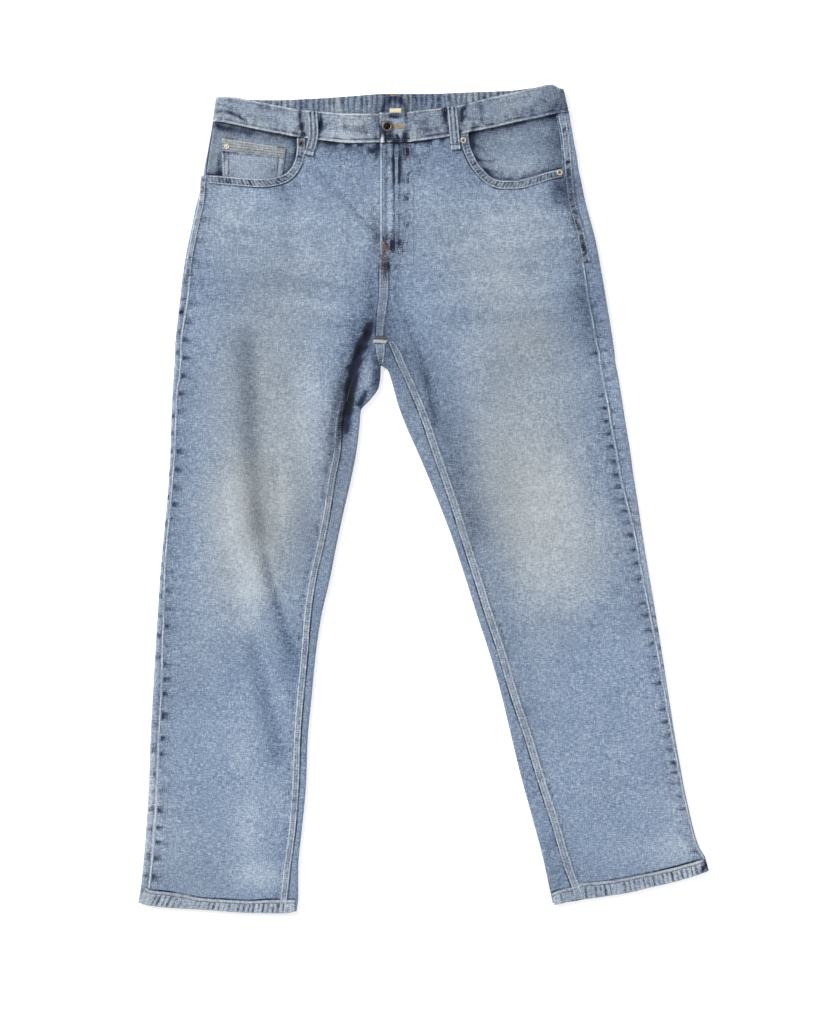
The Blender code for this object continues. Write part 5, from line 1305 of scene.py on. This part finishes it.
hems = dict(
    right=dict(
        top=[(-352, -491), (-347, -494.7), (-328, -497), (-303, -501), (-284, -505), (-252, -507), (-220, -508.6),
             (-201, -507.5), (-176, -507), (-163, -507)],
        bottom=[(-362, -513.5), (-347, -517.6), (-328, -520), (-284, -522.6), (-252, -525), (-220, -527),
                (-188.6, -527.5), (-176, -527.3), (-163, -525)]),
    left=dict(
        top=[(162, -499), (168, -496), (186, -492), (202.6, -486), (224, -484.5), (249.5, -480.7), (275, -475.6),
             (300, -470.5), (326, -464), (347, -458), (354, -456)],
        bottom=[(166, -516.5), (176, -514.8), (192.4, -510.5), (211.5, -508.6), (237, -505), (262, -501),
                (287.7, -494.7), (313, -489), (338.5, -482), (361, -474)]))


hemRoll = dict(proud=0.85, edgeIn=2.4, stitchIn=4.6, pucker=6.3)


def hemBand(half, seed, material):
    # the turned-up hem: a ridge under a painted shadow line at its top, a groove at the stitching, slanted rope puckers
    # below, and painted shade along its rolled lower edge
    plan, along, across, width = ribbonPlan(hems[half.name]["top"], hems[half.name]["bottom"], 1.2, 24)
    x, y = plan[..., 0], plan[..., 1]
    t, w = across - hemRoll["edgeIn"], width - hemRoll["edgeIn"]
    inside = smooth(t / 0.9 + 0.3)
    rope = hills(along + across * 0.15, across * 0.05, 3.4, seed)
    small = hills(along + across * 0.1, across * 0.1, 1.9, seed + 1)
    slow = hills(along, across * 0.2, 26, seed + 2)
    belly = bell(t - w * 0.66, w * 0.28)
    border = smooth(across / 0.9)
    z = half.height(x, y) + 0.16 * border - 0.3 * (1 - border)
    z = (z + inside * (hemRoll["proud"] + 0.35 * rope * belly + 0.1 * small * belly
                      - 0.4 * bell(t - hemRoll["stitchIn"], 0.8))
         - 0.9 * (1 - rim((width - across) / 1.6)))
    pale, grey = fadesAndShade(x, y)
    ends = smooth((np.minimum(along, along.max() - along) - 4) / 14)
    pale += inside * (0.34 + 0.22 * bell(t - 1.8, 1.4) + 0.3 * bell(w - t - 0.9, 1.2) + 0.2 * slow
                      + 0.2 * (1 - ends))
    wave = np.cos((along + 2.2 * slow + 0.8 * rope + across * 0.12) * 2 * math.pi / hemRoll["pucker"])
    below = smooth((t - 4.8) / 1.2) * smooth((w - t - 0.6) / 1.2)
    # painted shadow along the hem's top edge
    dark = 1.25 * bell(t + 0.3, 1.3) * (0.85 + 0.5 * slow)
    slanted = smooth(wave * 1.2 + 0.9 * rope + 0.8 * slow - 0.05)
    dark += inside * below * slanted * (0.75 + 0.4 * small) * (0.35 + 0.65 * ends)
    # stitch groove, painted shade along the rolled lower edge, and crease shade
    dark = dark + inside * 0.65 * bell(t - hemRoll["stitchIn"], 0.8) + 0.4 * bell(w - t, 0.6) + creaseShade(x, y)
    piece = shell("hem_" + half.name + "_band", xyz(plan, z), washAndShadeOf(pale, dark, grey + 0.25), material, 1)
    share = (hemRoll["edgeIn"] + hemRoll["stitchIn"]) / width
    line = plan[:, 0] * (1 - share) + plan[:, -1] * share
    return piece, (line, half.height, 0.12 + hemRoll["proud"] - 0.25)


class Value:
    # a shader socket that takes part in plain arithmetic
    def __init__(self, shader, socket):
        self.shader, self.socket = shader, socket

    def math(self, operation, *others):
        node = self.shader.tree.nodes.new("ShaderNodeMath")
        node.operation = operation
        for slot, value in zip(node.inputs, others):
            self.shader.put(slot, value)
        return Value(self.shader, node.outputs[0])

    def __add__(self, other): return self.math("ADD", self, other)
    def __radd__(self, other): return self.math("ADD", other, self)
    def __sub__(self, other): return self.math("SUBTRACT", self, other)
    def __rsub__(self, other): return self.math("SUBTRACT", other, self)
    def __mul__(self, other): return self.math("MULTIPLY", self, other)
    def wave(self): return self.math("SINE", self)
    def clip(self): return self.math("MINIMUM", self.math("MAXIMUM", self, 0), 1)


class Shader:
    # a Principled material and the one method that adds any other node to it
    def __init__(self, name, **settings):
        self.material = bpy.data.materials.new(name)
        self.material.use_nodes = True
        self.tree = self.material.node_tree
        self.surface = self.tree.nodes["Principled BSDF"]
        for key, value in settings.items():
            self.put(self.surface.inputs[key.replace("_", " ")], value)

    def put(self, slot, value):
        if isinstance(value, Value):
            self.tree.links.new(value.socket, slot)
        else:
            colour = isinstance(value, tuple) and slot.type == "RGBA" and len(value) == 3
            slot.default_value = (*value, 1) if colour else value

    def node(self, kind, output=0, settings=(), **values):
        node = self.tree.nodes.new(kind)
        for key, value in dict(settings).items():
            setattr(node, key, value)
        for key, value in values.items():
            self.put(node.inputs[key.replace("_", " ")], value)
        return Value(self, node.outputs[output])

    def mix(self, share, first, second):
        node = self.tree.nodes.new("ShaderNodeMix")
        node.data_type = "RGBA"
        self.put(node.inputs[0], share)
        self.put(node.inputs[6], first)
        self.put(node.inputs[7], second)
        return Value(self, node.outputs[2])

    def noise(self, place, scale, stretch=None, detail=2):
        if stretch:
            node = self.tree.nodes.new("ShaderNodeVectorMath")
            node.operation = "MULTIPLY"
            self.put(node.inputs[0], place)
            node.inputs[1].default_value = stretch
            place = Value(self, node.outputs[0])
        return self.node("ShaderNodeTexNoise", 0, {"noise_dimensions": "3D"}, Vector=place, Scale=scale, Detail=detail,
                         Roughness=0.6) - 0.5

    def bump(self, height, strength, distance):
        bump = self.node("ShaderNodeBump", Height=height, Strength=strength, Distance=distance)
        self.put(self.surface.inputs["Normal"], bump)


def linear(*values):
    # a screen colour of 0..255 as linear light
    return tuple(((v / 255 + 0.055) / 1.055) ** 2.4 if v > 10 else v / 255 / 12.92 for v in values)


# indigo is the denim's own dark indigo and also the colour of painted shade; deep is the near black of painted deep
# shadow
denimLook = dict(blue=linear(116, 135, 161), grey=linear(134, 141, 146), palest=linear(208, 216, 224),
                 indigo=linear(31, 42, 66), deep=linear(12, 14, 20), brown=linear(118, 110, 102),
                 inside=linear(116, 128, 144), grain=1)


def denimMaterial(name, look=denimLook):
    # washed denim: flecks of pale weft and blue warp at three scales over the painted wash with its painted light and
    # shade, with a fine twill
    shader = Shader(name, Roughness=0.9, Sheen_Weight=0.08, Sheen_Roughness=0.6)
    shader.surface.inputs["Specular IOR Level"].default_value = 0.15
    place = shader.node("ShaderNodeTexCoord", "Object")
    wash = shader.tree.nodes.new("ShaderNodeAttribute")
    wash.attribute_name = "wash"
    split = shader.tree.nodes.new("ShaderNodeSeparateColor")
    shader.tree.links.new(wash.outputs["Color"], split.inputs[0])
    pale, dark, grey = (Value(shader, split.outputs[k]) for k in range(3))
    inside = Value(shader, wash.outputs["Alpha"])
    warp = shader.noise(place, 760, (1, 0.22, 1))
    weft = shader.noise(place, 760, (0.22, 1, 1))
    fleck = shader.noise(place, 900)
    fine = shader.noise(place, 1700, (1, 0.4, 1))
    cloud = shader.noise(place, 70, detail=3)
    axes = shader.node("ShaderNodeSeparateXYZ", 0, Vector=place)
    x, y = Value(shader, axes.socket.node.outputs[0]), Value(shader, axes.socket.node.outputs[1])
    twill = ((x * 0.8 + y * 1.1) * 6283 + fleck * 4).wave()
    grain = (warp * 1.3 + weft * 1.4 + fleck * 0.9 + fine * 0.7 + twill * 0.05) * (1.3 - grey * 0.42) * look["grain"]
    tone = pale - 0.03 + grain + cloud * 0.06
    base = shader.mix((grey + 0.12).clip(), look["blue"], look["grey"])
    base = shader.mix((grey - 1).clip(), base, look["brown"])
    base = shader.mix((tone * 0.72).clip(), base, look["palest"])
    base = shader.mix((tone * -0.78).clip(), base, look["indigo"])
    mottle = dark + (dark * (1.15 - dark)).clip() * (grain * -1.5 + cloud * 0.8)
    base = shader.mix((mottle * 0.9).clip(), base, look["indigo"])
    # where the dark channel passes 1 the colour goes on to the near black of painted deep shadow
    base = shader.mix((dark - 1).clip(), base, look["deep"])
    base = shader.mix((inside * 0.8).clip(), base, look["inside"])
    shader.put(shader.surface.inputs["Base Color"], base)
    shader.bump(warp * 0.5 + weft * 0.35 + fleck * 0.5 + fine * 0.4 + twill * 0.12, 0.5, 0.0009)
    return shader.material


def metalMaterial(name, colour, worn, rough):
    # metal mottled between two colours, rougher where it is worn, with fine scratches
    shader = Shader(name, Metallic=1)
    place = shader.node("ShaderNodeTexCoord", "Object")
    patch = (shader.noise(place, 500, detail=3) * 2.5 + 0.5).clip()
    scratch = shader.noise(place, 2600, (1, 0.2, 1))
    shader.put(shader.surface.inputs["Base Color"], shader.mix(patch, linear(*colour), linear(*worn)))
    shader.put(shader.surface.inputs["Roughness"], (rough + scratch * 0.4 + patch * 0.12).clip())
    shader.bump(scratch + patch * 0.4, 0.25, 0.0002)
    return shader.material


def edgeLine(half, part, shift):
    # the front panel's inner ends, moved sideways
    return half.rows[part, 3:5] + np.array([shift, 0])


def sideLine(half, ys, shift):
    # points of the side seam at some heights, moved outwards by a shift
    ys = np.asarray(ys, float)
    return np.stack([half.seamX(ys) - half.inward * shift, ys], axis=1)


def crotchHeight(x, y):
    # the fold under the crotch: the top layer rolls down within 3.5 mm of y = 169
    return left.height(x, y) - 3.4 * (1 - rim((y - 168.6) / 3.4))


def flatPlate(name, xSpan, ySpan, z, thick, material):
    # a flat rectangle of cloth with low random hills; z is the height of its upper face
    x, y = np.meshgrid(np.linspace(*xSpan, 14), np.linspace(*ySpan, 60))
    grid = np.stack([x, y, z + 0.08 * hills(x, y, 9, 99)], axis=-1)
    return shell(name, grid, washAndShadeOf(0 * x, 0, 0.2), material, thick)


zipTeeth = dict(x=-36, fromY=306, toY=444, pitch=2.1, apart=1.1, lag=1.05, z=6.25, half=(1.5, 0.55, 0.45))


def zipParts():
    # two rows of small metal teeth that meet in the middle of the tape
    y = np.arange(zipTeeth["fromY"], zipTeeth["toY"], zipTeeth["pitch"])
    parts = []
    box = np.array([(sx, sy, sz) for sx in (-1, 1) for sy in (-1, 1) for sz in (-1, 1)], float)
    quads = np.array([(0, 1, 3, 2), (4, 6, 7, 5), (0, 4, 5, 1), (2, 3, 7, 6), (0, 2, 6, 4), (1, 5, 7, 3)])
    for side, lag in ((-1, 0), (1, zipTeeth["lag"])):
        x = np.full(len(y), zipTeeth["x"] + side * zipTeeth["apart"])
        centre = np.stack([x, y + lag, np.full(len(y), zipTeeth["z"])], axis=1)
        points = centre[:, None] + box[None] * np.array(zipTeeth["half"])
        faces = quads[None] + 8 * np.arange(len(y))[:, None, None]
        parts.append((points.reshape(-1, 3), faces.reshape(-1, 4)))
    return parts


def fabricMaterial(name, colour, other, rough, weave):
    # plain woven tape or label: two crossed sets of threads, a mottle between two colours
    shader = Shader(name, Roughness=rough, Sheen_Weight=0.1)
    place = shader.node("ShaderNodeTexCoord", "Object")
    axes = shader.node("ShaderNodeSeparateXYZ", 0, Vector=place)
    x, y = Value(shader, axes.socket.node.outputs[0]), Value(shader, axes.socket.node.outputs[1])
    threads = (x * weave * 6.283).wave() * (y * weave * 6.283).wave()
    mottle = shader.noise(place, 400, detail=3)
    share = (threads * 0.25 + mottle * 1.6 + 0.4).clip()
    shader.put(shader.surface.inputs["Base Color"], shader.mix(share, linear(*colour), linear(*other)))
    shader.bump(threads + mottle, 0.4, 0.0003)
    return shader.material


def onUnderside(x, y):
    # the back panels' outer face, a little inside the seams that stand on it
    return levels(y)[0] + 0.25


def insideBand(x, y):
    # the inner face of the waistband's back
    return levels(y)[0] + cloth["band"]


def belowHem(x, y):
    # the thread of the hem's stitching under the leg
    return 0.42 + 0 * x


print("stage: materials")
panelDenim = denimMaterial("washed denim")
bandDenim = denimMaterial("waistband denim")
pocketDenim = denimMaterial("pocket denim")
# name, screen colour, its second colour, roughness; for cloth and thread the weave to the metre too
steel, paleSteel, darkSteel = [metalMaterial(*row) for row in (
    ("worn steel", (120, 114, 108), (78, 72, 68), 0.4), ("pale steel", (222, 218, 204), (170, 164, 150), 0.55),
    ("dark steel", (46, 40, 40), (24, 20, 20), 0.45))]
paleThread, brownThread, rustThread, ochreThread, lightThread, creamCloth, tapeCloth = [fabricMaterial(*row) for row in (
    ("pale thread", (158, 158, 156), (104, 106, 112), 0.7, 1800),
    ("brown thread", (128, 106, 90), (78, 68, 66), 0.7, 1800),
    ("rust thread", (188, 132, 76), (112, 76, 54), 0.7, 1800),
    ("ochre thread", (196, 168, 104), (140, 112, 66), 0.7, 1800),
    ("light thread", (206, 208, 206), (164, 166, 168), 0.7, 1800),
    ("cream label", (226, 216, 186), (206, 194, 160), 0.8, 900), ("zip tape", (70, 80, 104), (46, 54, 76), 0.8, 900))]

print("stage: panels")
fronts = {half.name: frontPanel(half, panelDenim) for half in (right, left)}
backs = {half.name: backPanel(half, panelDenim) for half in (right, left)}
yokes = {half.name: yoke(half, panelDenim) for half in (right, left)}
facings = {"right": facing(right, 2, pocketDenim), "left": facing(left, 1, pocketDenim)}
coinPatch = coinPocket(pocketDenim)

print("stage: seams and hems")
stitchRows = []


def sewSeam(name, lineA, lineB, height, seed, edgeShadows, **changes):
    # a felled seam in the panels' denim, whose stitch rows join the others
    piece, more = felledSeam(name, lineA, lineB, height, seed, panelDenim, edgeShadows, **changes)
    stitchRows.extend(more)
    return piece


flyPiece = flyPatch(panelDenim)
for half, seed in ((right, 401), (left, 411)):
    mouth = smoothLine(half.mouth, 2)[:-2]
    ends = [besideLine(mouth, offset * half.inward) for offset in (0.25, 13)]
    for line in ends:
        line[0, 1] += 6
    sewSeam("mouth_" + half.name + "_hem", *ends, half.height, seed, (0, 1.15), margins=(0.2, 2.6),
                             columns=19, proud=0.75, rowIn=2.4, tone=0.06, puckers=0.2, blotches=0.4, ticks=0.85)
rightLeg, leftLeg = slice(13, 29), slice(10, 28)
legEnd = np.array([[192.4, -508.5]])       # where the left inseam meets the hem
inseamRight = sewSeam("inseam_right_seam", edgeLine(right, rightLeg, -11.2), edgeLine(right, rightLeg, 2.2),
                      right.height, 201, (0.35, 1.2))
inseamLeft = sewSeam("inseam_left_seam",
                     np.concatenate([[(-47, 198)], edgeLine(left, leftLeg, -2.2), legEnd - [2.2, 0]]),
                     np.concatenate([[(-37, 201)], edgeLine(left, leftLeg, 13), legEnd + [13, 2]]),
                     left.height, 211, (1.2, 0.45))
rise = sewSeam("front_rise_seam", [(-58.4, 300), (-58.6, 260), (-60.6, 241), (-62.6, 220), (-63.2, 206)],
               [(-42.4, 300), (-42.8, 260), (-45, 241), (-48, 220), (-48.9, 206)], left.height, 221, (0.9, 0.6),
               rows=3, rowIn=2.6, tone=0.1)
stub = sewSeam("back_rise_stub", [(-63.5, 196), (-62.5, 185), (-60.5, 176), (-59, 170.2)],
               [(-46.5, 196), (-47, 185), (-48, 176), (-49, 170.2)], crotchHeight, 231, (0.9, 0.9), tone=0.45, rows=3)
ys = (410, 380, 340, 300, 284)
sideRight = sewSeam("side_right_seam", sideLine(right, ys, -2), sideLine(right, ys, 7.4), right.height, 241,
                    (0.9, 0.2), margins=(2, 0.3), columns=11, rowIn=2, puckers=0.5)
ys = (486, 455, 420, 380, 340, 300)
sideLeft = sewSeam("side_left_seam", sideLine(left, ys, -2.2), sideLine(left, ys, 11.8), left.height, 251, (0.9, 0.5),
                   rowIn=2.6, tone=-0.1, puckers=0.9, blotches=0.7)
cords = [seamCord("side_right_cord", sideLine(right, np.linspace(286, -496, 60), 0), right.height, 441, panelDenim),
         seamCord("side_left_cord", sideLine(left, np.linspace(300, -458, 60), 0), left.height, 451, panelDenim)]
# name, one edge of the seam, how far off the other edge is, seed
backSeams = [sewSeam(name, line, np.array(line, float) + across, onUnderside, seed, (0.8, 0.8), up=-1)
             for name, line, across, seed in (
                 ("yoke_right_seam", [(-262, 441.5), (-160, 427), (-56, 412)], (0, -13), 261),
                 ("yoke_left_seam", [(180, 452.5), (66, 432), (-40, 412)], (0, -13), 271),
                 ("centre_back_seam", [(-54, 466), (-56, 380), (-58, 290), (-60.5, 190)], (12, 0), 281))]
hemPieces, hemRows = {}, []
for half, seed in ((right, 301), (left, 311)):
    hemPieces[half.name], row = hemBand(half, seed, panelDenim)
    hemRows.append(row)

print("stage: waistband and loops")
bandPiece = waistband(bandDenim)
loopPieces = [frontLoop(half, *row, bandDenim) for half, row in zip((right, left), frontLoops)]
loopPieces += [backLoop(*row, bandDenim) for row in backLoops]
pocketPieces = {side: backPocket(side, panelDenim) for side in ("right", "left")}
# x and y of the ends, height of the upper face, thickness
plates = dict(shield=((-65, -13), (297, 446), 5.1, 1.2), tape=((-45, -27), (302, 446), 6, 0.8),
              label=((-43, -28), (472, 496), float(levels(472)[0]) + cloth["band"] + 0.9, 0.5))
shield = flatPlate("fly_shield_cloth", *plates["shield"], panelDenim)
tape = flatPlate("zip_tape", *plates["tape"], tapeCloth)
joined("zip_teeth", zipParts(), steel)
label = flatPlate("inner_label_cloth", *plates["label"], creamCloth)

print("stage: stitching")
parts = [stitchParts(*row) for row in stitchRows]
parts += [stitchParts(smoothLine(line, 3), left.height, 0.22) for line in flyRows]
lowRows = []
for half, table in ((right, bandRight[:-1]), (left, bandLeft[1:])):
    low, top = table[:, 2:4], table[:, 0:2]
    wayUp = unit(top - low)
    lowRows.append(stitchParts(smoothLine(low + wayUp * 4.4, 3), partial(bandHeight, half), 0.05, 2.6, 1.8))
    parts.append(stitchParts(smoothLine(top - wayUp * 3.4, 3), partial(bandHeight, half), 0.05))
# the hems' stitching goes on round the back of the legs
for half in (right, left):
    backHem = smoothLine(np.array(hems[half.name]["bottom"][1:-1], float) + np.array([0, 13]), 3)
    parts.append(stitchParts(backHem, belowHem, -0.12))
parts.append(stitchParts(smoothLine(bandBack[1:-1, 0:2] - np.array([0, 3.4]), 3), insideBand, 0.05))
onFacing = facingHeight(right, 1)
# the coin pocket: two rows in its hem, two down each side
for line, lift in (([(-254, 456), (-177, 443.6)], 0.62), ([(-254, 447), (-177.4, 434.6)], 0.62),
                   ([(-253.8, 438), (-252, 405)], 0.12), ([(-247.4, 437), (-246, 405)], 0.12),
                   ([(-179, 428), (-183, 405)], 0.12), ([(-185.4, 428), (-189, 405)], 0.12)):
    parts.append(stitchParts(line, onFacing, lift))
joined("pale_stitches", parts, paleThread)
joined("hem_stitches", [stitchParts(*row, 3.1, 2.4, 0.36) for row in hemRows] + lowRows, brownThread)

# x, y, the way it runs, length, width, surface, lift, then the thread's radius and pitch
onLeft, onRight = left.height, right.height
rustTacks = [(-48.5, 319, 0.1, 1, 9, 12, onLeft, 1, 0.26, 1.9),
             (-50.5, 322, -0.3, 1, 8, 7, onLeft, 1.2, 0.24, 1.7),
             (-53, 306, 0.09, 1, 28, 2.8, onLeft, 1.1, 0.22, 1.8),
             (-45.2, 309, -0.08, 1, 20, 2.4, onLeft, 1.1, 0.22, 2.4)]
brownTacks = [(-49.5, 298, 0.02, 1, 26, 7.5, onLeft, 0.9, 0.24, 2.9), (-51, 288, -0.1, 1, 14, 3, onLeft, 1.1, 0.22, 1.6),
              (-46.5, 300, 0.12, 1, 16, 3, onLeft, 1.1, 0.22, 2.1), (-247, 458, 1, -0.15, 11, 2.4, onFacing, 0.75),
              (-181.5, 446.4, 1, -0.15, 10, 2.4, onFacing, 0.75), (-145.4, 438.4, 1, 0.1, 9, 2.2, onRight, 2.6),
              (40.6, 445.4, 1, 0, 9, 2.2, onLeft, 2.6), (-55, 204.5, 1, 0, 15, 2.4, onLeft, 1),
              (181, 457, 0.15, 1, 12, 2.4, onLeft, 0.9), (-296, 284, 1, 0.1, 7, 2.4, onRight, 0.8),
              (209, 301, 1, 0.1, 8, 2.4, onLeft, 0.8)]
for name, table, thread in (("rust_tacks", rustTacks, rustThread), ("brown_tacks", brownTacks, brownThread)):
    joined(name, [barTack(row[0:2], row[2:4], *row[4:]) for row in table], thread)
hole = [stitchParts([(-39, 472.8 + side * 1.9), (-24.5, 470.6 + side * 0.8)], partial(bandHeight, left), 0.45, 0.7,
                    2.2, 0.28, math.pi / 2 - 0.2 * side) for side in (1, -1)]
hole.append(barTack((-38, 513), (1, 0), 9, 2.6, insideBand, 0.15))
joined("buttonhole_stitches", hole, ochreThread)
crotchBar = joined("crotch_bar", [barTack((-55.4, 199.5), (1, -0.06), 17, 5, onLeft, 1.1, 0.36, 0.8)], lightThread)

print("stage: metal")
buttonRing, buttonCentre = waistButton(steel, darkSteel)
# name, x, y, radius, height, surface, lift, collar and middle
rivetRows = [("rivet_mouth_right", -155.5, 450.5, 3.8, 1.6, right.height, 0.7, steel, darkSteel),
             ("rivet_mouth_left", 50.5, 455, 3.8, 1.6, left.height, 0.7, paleSteel, steel),
             ("rivet_side_left", 173, 414, 3.8, 1.6, left.height, 0.7, paleSteel, steel),
             ("rivet_coin", -250, 447.5, 3.6, 1.5, onFacing, 0.3, paleSteel, paleSteel)]
rivets = {row[0]: rivet(*row) for row in rivetRows}

for side in ("right", "left"):
    for pieces, node in ((fronts, "front_"), (backs, "back_"), (yokes, "yoke_"), (facings, "facing_")):
        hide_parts(node + side)
for piece, node in ((coinPatch, "coin_pocket"), (bandPiece, "waistband"), (shield, "fly_shield"), (tape, "zip"),
                    (label, "inner_label")):
    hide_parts(node)
for piece in loopPieces:
    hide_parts(piece.name.replace("_cloth", ""))
for side, piece in pocketPieces.items():
    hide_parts("pocket_back_" + side)
for node, pieces in {"waist_button": [buttonRing, buttonCentre], **rivets}.items():
    for piece in pieces:
        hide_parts(node)


print("stage: floor, light and camera")
floor = dict(size=6, colour=linear(250, 250, 250), glow=0.35)
mesh = bpy.data.meshes.new("floor")
h = floor["size"] / 2
mesh.from_pydata([(-h, -h, -0.0005), (h, -h, -0.0005), (h, h, -0.0005), (-h, h, -0.0005)], [], [(0, 1, 2, 3)])
floorPiece = bpy.data.objects.new("floor", mesh)
bpy.context.scene.collection.objects.link(floorPiece)
floorLook = Shader("paper", Roughness=0.9, Base_Color=floor["colour"], Emission_Color=(1, 1, 1),
                   Emission_Strength=floor["glow"])
mesh.materials.append(floorLook.material)

studio = dict(strength=0.46, lights=[("key", (-3.2, 2.9, 3.3), (1.6, 1.6), 330),
                                     ("fill", (2.6, -1.6, 3.6), (2.4, 2.4), 60)])
world = bpy.data.worlds.new("studio")
bpy.context.scene.world = world
world.use_nodes = True
background = world.node_tree.nodes["Background"]
background.inputs["Color"].default_value = (1, 1, 1, 1)
background.inputs["Strength"].default_value = studio["strength"]


def areaLight(name, place, size, power):
    # a rectangular light turned towards the garment's middle
    data = bpy.data.lights.new(name, "AREA")
    data.shape, data.size, data.size_y, data.energy = "RECTANGLE", size[0], size[1], power
    thing = bpy.data.objects.new(name, data)
    thing.location = place
    way = -np.array(place)
    pitch, turn = math.acos(-way[2] / np.linalg.norm(way)), math.atan2(way[1], way[0]) - math.pi / 2
    thing.rotation_euler = (pitch, 0, turn)
    bpy.context.scene.collection.objects.link(thing)


for light in studio["lights"]:
    areaLight(*light)

camera = bpy.data.objects.new("camera", bpy.data.cameras.new("camera"))
# the photograph's frame is 1040.1 x 1300.5 mm where the garment lies; the long side is the sensor's width
view = dict(lens=85, sensor=36, centre=(-0.0178, -0.0171), level=0.009, longSide=1.3005)
camera.data.lens, camera.data.sensor_width = view["lens"], view["sensor"]
camera.location = (*view["centre"], view["level"] + view["longSide"] * view["lens"] / view["sensor"])
bpy.context.scene.collection.objects.link(camera)
bpy.context.scene.camera = camera
bpy.context.scene.view_settings.view_transform = "Standard"
